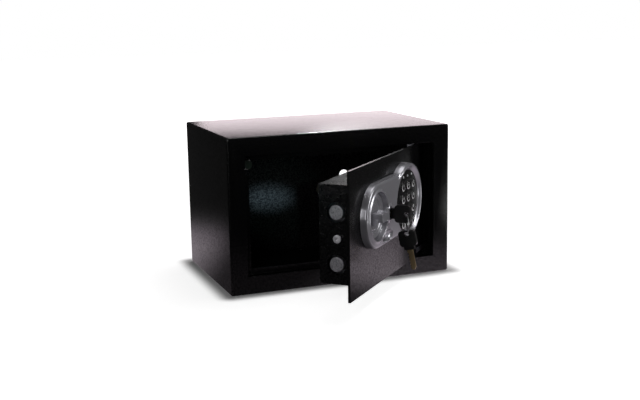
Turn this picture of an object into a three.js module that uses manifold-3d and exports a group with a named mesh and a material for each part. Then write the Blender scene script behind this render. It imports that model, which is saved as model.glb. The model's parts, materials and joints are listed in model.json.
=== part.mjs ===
// A small electronic steel safe, its door standing ajar on a concealed hinge at the right.
// Millimetres, Z up. The origin is the middle of the underside and the front faces -Y.
// The door is drawn shut, in its own group, and that group is then turned about the hinge pins.
import * as THREE from "three";
import { mergeVertices } from "three/addons/utils/BufferGeometryUtils.js";
import Module from "manifold-3d";

const wasm = await Module();
wasm.setup();

// Clearances shared by all the pieces
const seatGap = 0.3;
const overrun = 4;
const weldDistance = 0.0001;
const roundSides = 32;
const smallSides = 16;
const wideSides = 48;
const arcFacets = 6;

// The box
const bodyWidth = 306;
const bodyDepth = 196;
const bodyHeight = 200;
const wallThickness = 1.5;
const frontThickness = 2;
const foldRadius = 2.4;
const sideBorder = 22.5;
const topBorder = 23;

// The door and its concealed hinge
const openAngle = THREE.MathUtils.degToRad(44);
const doorThickness = 3;
const doorSideGap = 1.5;
const doorTopGap = 1;
const hingeFromEdge = 27;
const hingeBehindFace = 6.5;
const pinRadius = 2.5;
const pinLength = 24;

const doorWidth = bodyWidth - 2 * sideBorder - 2 * doorSideGap;
const doorHeight = bodyHeight - 2 * topBorder - 2 * doorTopGap;
const doorBottom = topBorder + doorTopGap;
const doorTop = doorBottom + doorHeight;
const hingeFromFree = doorWidth - hingeFromEdge;
const frontY = -bodyDepth / 2;
const hingeX = bodyWidth / 2 - sideBorder - doorSideGap - hingeFromEdge;

// The control panel, its places taken along the door from the free edge
const panelCentreShare = 0.467;
const knobToKeypad = 102;
const panelHeightShare = 0.577;
const bridgeRadius = 39.5;
const panelDepth = 8.5;
const panelDraft = 1;
const panelRounding = 2.2;

const knobS = doorWidth * panelCentreShare - knobToKeypad / 2;
const keypadS = knobS + knobToKeypad;
const panelZ = doorBottom + doorHeight * panelHeightShare;

// The lock box behind the door plate
const boxFromFreeEdge = 16;
const boxFromHinge = 15;
const boxBottomMargin = 15.5;
const boxTopMargin = 19;
const boxDepth = 41.5;
const boxWall = 1.5;
const boxRounding = 5;

const boxLeft = boxFromFreeEdge;
const boxRight = hingeFromFree - boxFromHinge;
const boxBottom = doorBottom + boxBottomMargin;
const boxTop = doorTop - boxTopMargin;
const boxFront = -doorThickness - seatGap;
const boxRear = boxFront - boxDepth;
const boxHeight = boxTop - boxBottom;

// Materials
const powderBlack = new THREE.MeshStandardMaterial({ color: 0x17161a, roughness: 0.55, metalness: 0.1 });
const zincSteel = new THREE.MeshStandardMaterial({ color: 0x9d9ba0, roughness: 0.4, metalness: 0.9 });
const darkSteel = new THREE.MeshStandardMaterial({ color: 0x55565a, roughness: 0.5, metalness: 0.8 });
const silverPlastic = new THREE.MeshStandardMaterial({ color: 0x8d8c92, roughness: 0.35, metalness: 0.4 });
const blackPlastic = new THREE.MeshStandardMaterial({ color: 0x101013, roughness: 0.45, metalness: 0 });
const keyPlastic = new THREE.MeshStandardMaterial({ color: 0x0c0c0d, roughness: 0.5, metalness: 0 });
const softRubber = new THREE.MeshStandardMaterial({ color: 0x2a2a2c, roughness: 0.9, metalness: 0 });
const boardGreen = new THREE.MeshStandardMaterial({ color: 0x1f5a34, roughness: 0.6, metalness: 0 });
const lampClear = new THREE.MeshStandardMaterial({ color: 0xd6dadf, roughness: 0.2, metalness: 0 });
const brassYellow = new THREE.MeshStandardMaterial({ color: 0xa58a55, roughness: 0.35, metalness: 1 });
const chromeBright = new THREE.MeshStandardMaterial({ color: 0xc9cacd, roughness: 0.12, metalness: 1 });
const cellWrap = new THREE.MeshStandardMaterial({ color: 0x3b4a66, roughness: 0.4, metalness: 0.2 });
const buttonRed = new THREE.MeshStandardMaterial({ color: 0xb3201c, roughness: 0.45, metalness: 0 });
const plateGrey = new THREE.MeshStandardMaterial({ color: 0x77767c, roughness: 0.4, metalness: 0.6 });

// A closed geometry as a solid that can be joined and cut
function solid(geometry) {
  const bare = geometry.index ? geometry.toNonIndexed() : geometry.clone();
  bare.deleteAttribute("normal");
  bare.deleteAttribute("uv");
  const merged = mergeVertices(bare, weldDistance);
  const corners = merged.index.array;
  const kept = [];
  for (let i = 0; i < corners.length; i += 3) {
    const [a, b, c] = corners.slice(i, i + 3);
    if (a !== b && b !== c && c !== a) kept.push(a, b, c);
  }
  return new wasm.Manifold(
    new wasm.Mesh({
      numProp: 3,
      vertProperties: merged.attributes.position.array,
      triVerts: new Uint32Array(kept),
    }),
  );
}

function asSolid(shape) {
  return shape.getMesh ? shape : solid(shape);
}

function join(first, ...others) {
  return others.reduce((sum, shape) => sum.add(asSolid(shape)), asSolid(first));
}

function cut(first, ...tools) {
  return tools.reduce((left, tool) => left.subtract(asSolid(tool)), asSolid(first));
}

// A named mesh from a solid, added to the group that carries it
function piece(group, name, shape, material) {
  const mesh = asSolid(shape).getMesh();
  const geometry = new THREE.BufferGeometry();
  geometry.setAttribute("position", new THREE.BufferAttribute(mesh.vertProperties, 3));
  geometry.setIndex(new THREE.BufferAttribute(mesh.triVerts, 1));
  const flat = geometry.toNonIndexed();
  flat.computeVertexNormals();
  const made = new THREE.Mesh(flat, material);
  made.name = name;
  group.add(made);
}

// A box between two corners, and the same on the door, measured out from its front face
function box(x0, x1, y0, y1, z0, z1) {
  const shape = new THREE.BoxGeometry(x1 - x0, y1 - y0, z1 - z0);
  return shape.translate((x0 + x1) / 2, (y0 + y1) / 2, (z0 + z1) / 2);
}

function doorBox(s0, s1, out0, out1, z0, z1) {
  return box(s0, s1, -out1, -out0, z0, z1);
}

// Round bars along each direction of the door
function barOut(radius, out0, out1, s, z, sides = roundSides) {
  const bar = new THREE.CylinderGeometry(radius, radius, out1 - out0, sides);
  return bar.translate(s, -(out0 + out1) / 2, z);
}

function barAlong(radius, s0, s1, out, z, sides = roundSides) {
  const bar = new THREE.CylinderGeometry(radius, radius, s1 - s0, sides).rotateZ(-Math.PI / 2);
  return bar.translate((s0 + s1) / 2, -out, z);
}

function barUp(radius, z0, z1, s, out, sides = roundSides) {
  const bar = new THREE.CylinderGeometry(radius, radius, z1 - z0, sides).rotateX(Math.PI / 2);
  return bar.translate(s, -out, (z0 + z1) / 2);
}

// A profile of [radius, height out of the door], turned about a line square to the door
function turned(profile, s, z, sides = roundSides) {
  const points = profile.map(([radius, out]) => new THREE.Vector2(radius, out));
  return new THREE.LatheGeometry(points, sides).rotateX(Math.PI).translate(s, 0, z);
}

// A flat outline drawn in s and z, thickened outwards from the door
function plateOut(outline, out0, out1) {
  const how = { depth: out1 - out0, bevelEnabled: false, curveSegments: arcFacets };
  return new THREE.ExtrudeGeometry(outline, how).rotateX(Math.PI / 2).translate(0, -out0, 0);
}

// A rectangle with round corners, as an outline
function roundedOutline(x0, x1, z0, z1, radius) {
  const outline = new THREE.Shape();
  outline.absarc(x1 - radius, z0 + radius, radius, -Math.PI / 2, 0);
  outline.absarc(x1 - radius, z1 - radius, radius, 0, Math.PI / 2);
  outline.absarc(x0 + radius, z1 - radius, radius, Math.PI / 2, Math.PI);
  outline.absarc(x0 + radius, z0 + radius, radius, Math.PI, 1.5 * Math.PI);
  return outline;
}

// Sections of a convex outline, stacked out of the door: each step is [height, inset]
function stacked(outlineAt, steps) {
  const rings = steps.map(([out, inset]) => outlineAt(inset).map((p) => new THREE.Vector3(p.x, -out, p.y)));
  const count = rings[0].length;
  const triangles = [];
  const middleOf = (ring) => ring.reduce((sum, p) => sum.add(p), new THREE.Vector3()).divideScalar(count);
  const low = middleOf(rings[0]);
  const high = middleOf(rings[rings.length - 1]);
  for (let i = 0; i < count; i++) {
    const next = (i + 1) % count;
    triangles.push(low, rings[0][next], rings[0][i]);
    triangles.push(high, rings[rings.length - 1][i], rings[rings.length - 1][next]);
    for (let step = 0; step + 1 < rings.length; step++) {
      const [a, b] = [rings[step], rings[step + 1]];
      triangles.push(a[i], a[next], b[next], a[i], b[next], b[i]);
    }
  }
  return new THREE.BufferGeometry().setFromPoints(triangles);
}

// The body: a folded shell, a back panel and the welded surround that the bolts lock behind
const foldSteps = 4;
const anchorRadius = 7.2;
const backGap = 0.3;
const surroundThickness = 1.5;
const surroundDepth = 10.2;
const lipWidth = 7.5;
const lipNotch = 19.5;
const lipCorner = 9.5;
const lipToHinge = 29.5;
const anchorShares = [
  [-0.217, 0.668],
  [0.15, 0.445],
  [0.272, 0.54],
];

function roundedPrism(halfWidth, z0, z1, radius, y0, y1) {
  const outline = roundedOutline(-halfWidth, halfWidth, z0, z1, radius);
  const how = { depth: y1 - y0, bevelEnabled: false, curveSegments: foldSteps };
  return new THREE.ExtrudeGeometry(outline, how).rotateX(Math.PI / 2).translate(0, y1, 0);
}

function foldedBlock() {
  const grown = (inset) => {
    const half = bodyWidth / 2 - inset;
    const outline = roundedOutline(-half, half, inset, bodyHeight - inset, foldRadius);
    return outline.getPoints(foldSteps).slice(0, -1);
  };
  const steps = [[frontY + bodyDepth, 0]];
  for (let i = 0; i <= foldSteps; i++) {
    const turn = (i / foldSteps) * (Math.PI / 2);
    steps.push([frontY + foldRadius * (1 - Math.sin(turn)), foldRadius * (1 - Math.cos(turn))]);
  }
  return stacked(grown, steps.map(([y, inset]) => [-y, inset]));
}

function bodyShell() {
  const inner = roundedPrism(
    bodyWidth / 2 - wallThickness,
    wallThickness,
    bodyHeight - wallThickness,
    foldRadius - wallThickness / 2,
    frontY + frontThickness,
    frontY + bodyDepth + overrun,
  );
  const halfOpening = bodyWidth / 2 - sideBorder;
  const opening = box(-halfOpening, halfOpening, frontY - overrun, 0, topBorder, bodyHeight - topBorder);
  return cut(foldedBlock(), inner, opening);
}

function backPanel() {
  const half = bodyWidth / 2 - wallThickness - backGap;
  const low = wallThickness + backGap;
  const back = frontY + bodyDepth;
  const corner = foldRadius - wallThickness / 2;
  const plate = roundedPrism(half, low, bodyHeight - low, corner, back - wallThickness, back);
  const holes = anchorShares.map(([across, up]) => {
    const hole = new THREE.CylinderGeometry(anchorRadius, anchorRadius, 2 * overrun, roundSides);
    return hole.translate(across * bodyWidth, back - wallThickness / 2, up * bodyHeight);
  });
  return cut(plate, ...holes);
}

function doorSurround() {
  const half = bodyWidth / 2 - sideBorder;
  const [low, high] = [topBorder, bodyHeight - topBorder];
  const front = frontY + frontThickness + seatGap;
  const back = front + surroundDepth;
  const t = surroundThickness;
  const tube = cut(
    box(-half - t, half + t, front, back, low - t, high + t),
    box(-half, half, front - overrun, back + overrun, low, high),
  );
  const lipEnd = hingeX - lipToHinge;
  const lipFront = back - t;
  const bottomLip = box(-half - t, lipEnd, lipFront, back, low - t, low + lipWidth);
  const topLip = box(-half + lipCorner, lipEnd, lipFront, back, high - lipWidth, high + t);
  const leftLip = box(-half - t, -half + lipWidth, lipFront, back, low - t, high - lipWidth - lipNotch);
  const withLips = join(tube, bottomLip, topLip, leftLip);
  const pinHoleRadius = pinRadius + seatGap;
  const pinHole = new THREE.CylinderGeometry(pinHoleRadius, pinHoleRadius, bodyHeight, smallSides);
  pinHole.rotateX(Math.PI / 2).translate(hingeX, frontY + hingeBehindFace, bodyHeight / 2);
  return cut(withLips, pinHole);
}

// The door plate with its hinge pins and blocks, its badge and the panel's screws
const blockWidth = 16;
const blockDepth = 7.4;
const blockHeight = 20;
const shaftRadius = 4;
const shaftHoleRadius = 6;
const wireHoleRadius = 8;
const barrelRadius = 7.8;
const badgeLength = 27;
const badgeHeight = 6.5;
const badgeThickness = 0.5;
const badgeFromHingeEdge = 2;
const badgeAboveEdge = 5.3;
const screwRadius = 2;
const screwHeadRadius = 4;
const screwHeadHeight = 2.2;
const screwDepth = 5;
const screwRiseShare = 0.269;
const screwBesideShare = 0.4;
const lockBesideKnob = 36.5;
const lockBelowKnob = 3;

const lockS = knobS + lockBesideKnob;
const lockZ = panelZ - lockBelowKnob;
const screwRise = boxHeight * screwRiseShare;
const screwPlaces = [
  [knobS - bridgeRadius * screwBesideShare, panelZ + screwRise],
  [knobS - bridgeRadius * screwBesideShare, panelZ - screwRise],
  [(knobS + keypadS) / 2, panelZ + screwRise],
];

function doorPlate() {
  const through = [-doorThickness - overrun, overrun];
  const holes = [
    barOut(shaftHoleRadius, ...through, knobS, panelZ),
    barOut(wireHoleRadius, ...through, keypadS, panelZ),
    barOut(barrelRadius + seatGap, ...through, lockS, lockZ),
    ...screwPlaces.map(([s, z]) => barOut(screwRadius + seatGap, ...through, s, z, smallSides)),
  ];
  return cut(doorBox(0, doorWidth, -doorThickness, 0, doorBottom, doorTop), ...holes);
}

function hingeBlock(z0, z1) {
  const s = hingeFromFree;
  const block = doorBox(s - blockWidth / 2, s + blockWidth / 2, boxFront - blockDepth, boxFront, z0, z1);
  return cut(block, barUp(pinRadius + seatGap, z0 - overrun, z1 + overrun, s, -hingeBehindFace, smallSides));
}

function addHinge(door) {
  const s = hingeFromFree;
  const lowBlock = topBorder + seatGap;
  const highBlock = doorTop - blockHeight;
  const pinIn = pinLength / 2;
  piece(door, "hinge_block_bottom", hingeBlock(lowBlock, lowBlock + blockHeight), darkSteel);
  piece(door, "hinge_block_top", hingeBlock(highBlock, doorTop), darkSteel);
  const pin = (z0) => barUp(pinRadius, z0, z0 + pinLength, s, -hingeBehindFace, smallSides);
  piece(door, "hinge_pin_bottom", pin(lowBlock + pinIn - pinLength), zincSteel);
  piece(door, "hinge_pin_top", pin(doorTop - pinIn), zincSteel);
}

function badge() {
  const s1 = doorWidth - badgeFromHingeEdge;
  const z0 = doorBottom + badgeAboveEdge;
  return doorBox(s1 - badgeLength, s1, seatGap, seatGap + badgeThickness, z0, z0 + badgeHeight);
}

function panelScrew([s, z]) {
  const back = -doorThickness - seatGap;
  const shank = barOut(screwRadius, back, back + doorThickness + screwDepth, s, z, smallSides);
  return join(shank, barOut(screwHeadRadius, back - screwHeadHeight, back, s, z, smallSides));
}

// The silver panel: a flat bridge with a round end, a larger round head, a knob well and a lock boss
const keypadRadius = 39.6;
const headRimWidth = 9.4;
const headCrestFromFace = 5.4;
const crestHalfShare = 0.9;
const boardInset = 2.6;
const shelfDepth = 5.6;
const headCrest = 11.4;
const headOpenAngle = THREE.MathUtils.degToRad(128);
const knobRadius = 27;
const knobClearance = 2.5;
const wellRimWidth = 2.6;
const wellRimHeight = 9.6;
const wellFloor = 1.5;
const bossRadius = 13;
const bossTopRadius = 8.8;
const bossHeight = 10.3;
const fingerLength = 36;
const fingerHeight = 15.6;
const fingerDepth = 3.5;
const fingerBesideKnob = 29.5;
const fingerRim = 1.8;
const panelBack = seatGap;
const arcSteps = 20;

const headRadius = keypadRadius + headRimWidth;
const headCrestRadius = keypadRadius + headCrestFromFace;
const boardRadius = keypadRadius - boardInset;
const wellRadius = knobRadius + knobClearance;

function bridgeOutline(inset) {
  const radius = bridgeRadius - inset;
  const points = [];
  for (let i = 0; i <= arcSteps; i++) {
    const turn = Math.PI / 2 + (i / arcSteps) * Math.PI;
    points.push(new THREE.Vector2(knobS + radius * Math.cos(turn), panelZ + radius * Math.sin(turn)));
  }
  points.push(new THREE.Vector2(keypadS, panelZ - radius));
  points.push(new THREE.Vector2(keypadS, panelZ + radius));
  return points;
}

// Height and inset up a moulded wall that drafts in and then rounds over
function mouldedWall(base, top, draft, rounding) {
  const steps = [[base, 0]];
  for (let i = 0; i <= foldSteps; i++) {
    const turn = (i / foldSteps) * (Math.PI / 2);
    steps.push([top - rounding * (1 - Math.sin(turn)), draft + rounding * (1 - Math.cos(turn))]);
  }
  return steps;
}

// The raised rim of the head, left open where the bridge meets the keypad
function headRim() {
  const half = headCrestFromFace * crestHalfShare;
  const profile = [
    [keypadRadius, panelBack],
    [headRadius, panelBack],
    [headRadius - panelDraft / 2, panelDepth - panelRounding],
    [headRadius - panelDraft - panelRounding / 2, headCrest - panelRounding / 2],
    [headCrestRadius, headCrest],
    [headCrestRadius - half / 2, headCrest - panelRounding / 3],
    [keypadRadius + panelDraft / 2, panelDepth],
    [keypadRadius, panelDepth - panelRounding],
    [keypadRadius, panelBack],
  ];
  const ring = solid(turned(profile, keypadS, panelZ, wideSides));
  const far = headRadius * 2;
  const wedge = new THREE.Shape();
  wedge.moveTo(keypadS, panelZ);
  wedge.lineTo(keypadS + far * Math.cos(headOpenAngle), panelZ + far * Math.sin(headOpenAngle));
  wedge.lineTo(keypadS - far, panelZ + far * Math.sin(headOpenAngle));
  wedge.lineTo(keypadS - far, panelZ - far * Math.sin(headOpenAngle));
  wedge.lineTo(keypadS + far * Math.cos(headOpenAngle), panelZ - far * Math.sin(headOpenAngle));
  return cut(ring, plateOut(wedge, panelDepth, headCrest + overrun));
}

function panelBezel() {
  const bridge = stacked(bridgeOutline, mouldedWall(panelBack, panelDepth, panelDraft, panelRounding));
  const disc = turned(
    [
      [0, panelBack],
      [headRadius, panelBack],
      ...mouldedWall(panelBack, panelDepth, panelDraft, panelRounding)
        .slice(1)
        .map(([out, inset]) => [headRadius - inset, out]),
      [0, panelDepth],
    ],
    keypadS,
    panelZ,
    wideSides,
  );
  const wellRim = turned(
    [
      [0, panelBack],
      [wellRadius + wellRimWidth + panelRounding / 2, panelBack],
      [wellRadius + wellRimWidth + panelRounding / 2, panelDepth - panelRounding / 2],
      [wellRadius + wellRimWidth / 2, wellRimHeight],
      [0, wellRimHeight],
    ],
    knobS,
    panelZ,
    wideSides,
  );
  const boss = turned(
    [
      [0, panelBack],
      [bossRadius, panelBack],
      [bossRadius, panelDepth - panelRounding / 2],
      [bossTopRadius, bossHeight],
      [0, bossHeight],
    ],
    lockS,
    lockZ,
  );
  const well = turned(
    [
      [0, wellFloor],
      [wellRadius - panelDraft, wellFloor],
      [wellRadius, wellRimHeight + overrun],
      [0, wellRimHeight + overrun],
    ],
    knobS,
    panelZ,
    wideSides,
  );
  const keypadSeat = barOut(keypadRadius, shelfDepth, headCrest + overrun, keypadS, panelZ, wideSides);
  const boardRoom = barOut(boardRadius + panelDraft, 0, shelfDepth + overrun, keypadS, panelZ, wideSides);
  const finger = new THREE.SphereGeometry(1, roundSides, smallSides);
  finger.scale(fingerLength / 2, fingerDepth, fingerHeight / 2);
  const fingerZ = panelZ - bridgeRadius + fingerRim + fingerHeight / 2;
  finger.translate(knobS + fingerBesideKnob, -panelDepth, fingerZ);
  const screwHole = ([s, z]) => barOut(screwRadius + seatGap, 0, screwDepth + seatGap, s, z, smallSides);
  const screwHoles = screwPlaces.map(screwHole);
  const flangeRoom = keyRadius + keyFlange + seatGap;
  const keyRooms = keyNames.map((name, index) =>
    barOut(flangeRoom, 0, shelfDepth + overrun, ...keyPlace(index), keySides),
  );
  const body = join(cut(bridge, finger), disc, wellRim, boss).add(headRim());
  return cut(
    body,
    solid(well),
    keypadSeat,
    boardRoom,
    barOut(shaftRadius + seatGap, 0, wellFloor + overrun, knobS, panelZ),
    barOut(barrelRadius + seatGap, 0, bossHeight + overrun, lockS, lockZ),
    ...screwHoles,
    ...keyRooms,
  );
}

// The keypad: a board and a rubber mat under a round face, with twelve round keys and three lamps
const boardThickness = 1.3;
const matThickness = 0.9;
const faceThickness = 2.2;
const keyRadiusShare = 0.172;
const keyPitchAcrossShare = 0.46;
const keyPitchUpShare = 0.4;
const keyGridLowShare = 0.073;
const lampAboveKeysShare = 0.29;
const lampPitchShare = 0.82;
const keyRise = 1.5;
const keyFlange = 0.8;
const keyFlangeThickness = 1;
const keyRounding = 0.7;
const keySides = 20;
const lampRadius = 1.6;
const lampRise = 0.5;
const keyColumns = 3;
const keyNames = ["1", "2", "3", "4", "5", "6", "7", "8", "9", "star", "0", "hash"];

const keyRadius = keypadRadius * keyRadiusShare;
const keyPitchAcross = keypadRadius * keyPitchAcrossShare;
const keyPitchUp = keypadRadius * keyPitchUpShare;
const keyRows = keyNames.length / keyColumns;

const faceLow = shelfDepth + seatGap;
const faceHigh = faceLow + faceThickness;
const boardLow = seatGap;
const matLow = boardLow + boardThickness + seatGap;

function keyPlace(index) {
  const column = (index % keyColumns) - (keyColumns - 1) / 2;
  const row = (keyRows - 1) / 2 - Math.floor(index / keyColumns);
  return [keypadS + column * keyPitchAcross, panelZ - keypadRadius * keyGridLowShare + row * keyPitchUp];
}

const lampZ = keyPlace(0)[1] + keypadRadius * lampAboveKeysShare;
const lampPlaces = [-1, 0, 1].map((column) => [keypadS + column * keyPitchAcross * lampPitchShare, lampZ]);

function keypadFace() {
  const face = turned(
    [
      [0, faceLow],
      [keypadRadius - seatGap, faceLow],
      [keypadRadius - seatGap, faceHigh - keyRounding / 2],
      [keypadRadius - seatGap - keyRounding / 2, faceHigh],
      [0, faceHigh],
    ],
    keypadS,
    panelZ,
    wideSides,
  );
  const holes = keyNames.map((name, index) =>
    barOut(keyRadius + seatGap, 0, headCrest, ...keyPlace(index), keySides),
  );
  const lampHole = ([s, z]) => barOut(lampRadius + seatGap, 0, headCrest, s, z, smallSides);
  const lampHoles = lampPlaces.map(lampHole);
  return cut(face, ...holes, ...lampHoles);
}

function padKey(index) {
  const top = faceHigh + keyRise;
  const flangeTop = faceLow - seatGap;
  const flangeRadius = keyRadius + keyFlange;
  const profile = [
    [0, flangeTop - keyFlangeThickness],
    [flangeRadius, flangeTop - keyFlangeThickness],
    [flangeRadius, flangeTop],
    [keyRadius, flangeTop],
    [keyRadius, top - keyRounding],
    [keyRadius - keyRounding / 3, top - keyRounding / 3],
    [keyRadius - keyRounding, top],
    [0, top],
  ];
  return turned(profile, ...keyPlace(index), keySides);
}

function padLamp([s, z]) {
  const top = faceHigh + lampRise;
  const stem = matLow + matThickness + seatGap;
  const profile = [
    [0, stem],
    [lampRadius, stem],
    [lampRadius, faceHigh],
    [lampRadius / 2, top],
    [0, top],
  ];
  return turned(profile, s, z, smallSides);
}

function addKeypad(door) {
  const disc = (low, thickness) => barOut(boardRadius, low, low + thickness, keypadS, panelZ);
  piece(door, "circuit_board", disc(boardLow, boardThickness), boardGreen);
  piece(door, "keypad_mat", disc(matLow, matThickness), softRubber);
  piece(door, "keypad_face", keypadFace(), blackPlastic);
  keyNames.forEach((name, index) => piece(door, "key_button_" + name, padKey(index), keyPlastic));
  lampPlaces.forEach((place, index) => piece(door, "lamp_" + (index + 1), padLamp(place), lampClear));
}

// The knob turns a shaft and a cam, whose pin drives the bolt carriage by a slot
const knobLow = 2;
const knobRimHigh = 4.4;
const knobHollowLow = 3.4;
const knobRimWidth = 2.4;
const gripWidth = 11;
const gripHigh = 17.5;
const gripLength = 25;
const shaftLow = -12.2;
const shaftHigh = 9;
const camRadius = 12.7;
const camLow = -11.2;
const camHigh = -7.4;
const camHubRadius = 7.5;
const camPinRadius = 2.5;
const camPinLow = -16.3;
const camRestAngle = Math.PI / 4;
const camSlack = 0.7;

const boltTravel = 2 * camRadius * Math.cos(camRestAngle);

function knob() {
  const dish = turned(
    [
      [0, knobLow],
      [knobRadius - panelDraft, knobLow],
      [knobRadius, knobRimHigh - panelDraft],
      [knobRadius - panelDraft, knobRimHigh],
      [knobRadius - knobRimWidth, knobRimHigh],
      [knobRadius - 2 * knobRimWidth, knobHollowLow],
      [0, knobHollowLow],
    ],
    0,
    0,
    wideSides,
  );
  const gripAt = (inset) => {
    const [long, wide] = [gripLength / 2 - inset, gripWidth / 2 - inset];
    return roundedOutline(-long, long, -wide, wide, gripWidth / 4).getPoints(foldSteps).slice(0, -1);
  };
  const grip = stacked(gripAt, mouldedWall(knobLow + seatGap, gripHigh, panelDraft / 2, panelDraft));
  const shaftRoom = barOut(shaftRadius + seatGap, -overrun, shaftHigh + seatGap, 0, 0, smallSides);
  return cut(join(dish, grip), shaftRoom).translate([knobS, 0, panelZ]);
}

function knobCam() {
  const pinS = knobS + camRadius * Math.cos(camRestAngle);
  const pinZ = panelZ + camRadius * Math.sin(camRestAngle);
  const lever = new THREE.BoxGeometry(camRadius, camHigh - camLow, 3 * camPinRadius);
  lever.translate(camRadius / 2, 0, 0).rotateY(-camRestAngle);
  lever.translate(knobS, -(camLow + camHigh) / 2, panelZ);
  const plate = join(
    barOut(camHubRadius, camLow, camHigh, knobS, panelZ),
    lever,
    barOut(1.5 * camPinRadius, camLow, camHigh, pinS, pinZ),
    barOut(camPinRadius, camPinLow, camHigh, pinS, pinZ, smallSides),
  );
  const through = [camLow - overrun, camHigh + overrun];
  return cut(plate, barOut(shaftRadius + seatGap, ...through, knobS, panelZ, smallSides));
}

function addKnob(door) {
  const shaft = barOut(shaftRadius, shaftLow, shaftHigh, knobS, panelZ, smallSides);
  piece(door, "knob", knob(), silverPlastic);
  piece(door, "knob_shaft", shaft, zincSteel);
  piece(door, "knob_cam", knobCam(), darkSteel);
}

// The bolts ride on one carriage, held by a guide plate and a long centre screw
const boltRadius = 9.2;
const boltHoleRadius = 12;
const boltSpacingShare = 0.521;
const boltsBelowMiddleShare = 0.0366;
const boltBehindFace = 23.2;
const boltProud = 1;
const boltChamfer = 0.8;
const carriageThickness = 3;
const armThickness = 2;
const armHigh = -13.2;
const armBesideSlot = 6;
const guideThickness = 2;
const guideFromBolts = 20;
const guideScrewRadius = 2.5;
const guideScrewHead = 4.9;
const guideScrewHeadHeight = 2.4;
const guideScrewLength = 60;
const guideScrewBehindFace = 21.7;
const screwSlotShare = 0.6;
const tailLength = 43;
const tailBelowKnobShare = 0.436;
const tailHeight = 14;
const notchWidth = 7.5;
const notchDepth = 6;

const boltSpacing = boxHeight * boltSpacingShare;
const boltMiddleZ = (boxBottom + boxTop) / 2 - boxHeight * boltsBelowMiddleShare;
const boltHeights = { upper: boltMiddleZ + boltSpacing / 2, lower: boltMiddleZ - boltSpacing / 2 };
const boltOuter = boxLeft - boltProud;
const slotS = knobS + camRadius * Math.cos(camRestAngle);
const carriageS = knobS - camRadius * Math.cos(camRestAngle) - camPinRadius;
const boltInner = carriageS - carriageThickness / 2 - seatGap;
const armLow = armHigh - armThickness;
const plungerS = knobS + camRadius - camPinRadius / 2;
const tailZ = panelZ - (panelZ - boxBottom) * tailBelowKnobShare;

function lockBolt(z) {
  const profile = [
    [0, 0],
    [boltRadius, 0],
    [boltRadius, boltInner - boltOuter - boltChamfer],
    [boltRadius - boltChamfer, boltInner - boltOuter],
    [0, boltInner - boltOuter],
  ];
  const points = profile.map(([radius, along]) => new THREE.Vector2(radius, along));
  const made = new THREE.LatheGeometry(points, roundSides).rotateZ(Math.PI / 2);
  return made.translate(boltInner, boltBehindFace, z);
}

function guideScrewRoom(s0, s1) {
  const radius = guideScrewRadius + seatGap;
  return barAlong(radius, s0 - overrun, s1 + overrun, -guideScrewBehindFace, boltMiddleZ, smallSides);
}

function boltCarriage() {
  const s0 = boltInner + seatGap;
  const s1 = s0 + carriageThickness;
  const back = -boltBehindFace - boltRadius;
  const [low, high] = [boltHeights.lower - boltRadius, boltHeights.upper + boltRadius];
  const upright = doorBox(s0, s1, back, armHigh, low, high);
  const slotLow = panelZ + camRadius * Math.sin(camRestAngle) - camPinRadius - camSlack;
  const slotHigh = panelZ + camRadius + camPinRadius + camSlack;
  const slotHalf = camPinRadius + camSlack;
  const armEnd = slotS + slotHalf + armBesideSlot;
  const arm = doorBox(s0, armEnd, armLow, armHigh, slotLow - armThickness, slotHigh + armThickness);
  const through = [armLow - overrun, armHigh + overrun];
  const slot = doorBox(slotS - slotHalf, slotS + slotHalf, ...through, slotLow, slotHigh);
  const tail = doorBox(s0, s0 + tailLength, armLow, armHigh, tailZ, tailZ + tailHeight);
  const notchS = plungerS + boltTravel;
  const [notchLow, notchHigh] = [tailZ - overrun, tailZ + notchDepth];
  const notch = doorBox(notchS - notchWidth / 2, notchS + notchWidth / 2, ...through, notchLow, notchHigh);
  return cut(join(upright, arm, tail), slot, notch, guideScrewRoom(s0, s1));
}

function boltGuide() {
  const s0 = boxLeft + guideFromBolts;
  const plate = doorBox(
    s0,
    s0 + guideThickness,
    boxRear + boxWall + seatGap,
    boxFront - seatGap,
    boxBottom + boxWall + boxRounding,
    boxTop - boxWall - seatGap,
  );
  const holes = Object.values(boltHeights).map((z) =>
    barAlong(boltRadius + seatGap, s0 - overrun, s0 + overrun, -boltBehindFace, z),
  );
  return cut(plate, ...holes, guideScrewRoom(s0, s0));
}

function guideScrew() {
  const s0 = boxLeft - seatGap;
  const out = -guideScrewBehindFace;
  const shank = barAlong(guideScrewRadius, s0, s0 + guideScrewLength, out, boltMiddleZ, smallSides);
  const head = barAlong(guideScrewHead, s0 - guideScrewHeadHeight, s0, out, boltMiddleZ);
  const recess = guideScrewHeadHeight / 2;
  const across = guideScrewHead * screwSlotShare;
  const bars = [
    [across, recess],
    [recess, across],
  ].map(([high, wide]) =>
    doorBox(
      s0 - guideScrewHeadHeight - overrun,
      s0 - recess,
      out - wide / 2,
      out + wide / 2,
      boltMiddleZ - high / 2,
      boltMiddleZ + high / 2,
    ),
  );
  return cut(join(shank, head), ...bars);
}

function addBolts(door) {
  for (const [place, z] of Object.entries(boltHeights)) {
    piece(door, "bolt_" + place, lockBolt(z), zincSteel);
  }
  piece(door, "bolt_carriage", boltCarriage(), darkSteel);
  piece(door, "bolt_guide", boltGuide(), darkSteel);
  piece(door, "guide_screw", guideScrew(), zincSteel);
}

// The solenoid holds a sprung plunger against the carriage's tail
const solenoidWidth = 20;
const solenoidDepth = 18;
const solenoidHeightShare = 0.628;
const solenoidAboveFloor = 1;
const plungerRadius = 3;
const plungerInShare = 0.583;
const plungerTravel = 4;
const collarRadius = 5;
const collarHeight = 2;
const collarBelowTop = 2;
const springTurns = 5;
const springWire = 0.4;
const springClear = 0.6;
const springSteps = 8;
const springSides = 5;

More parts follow.
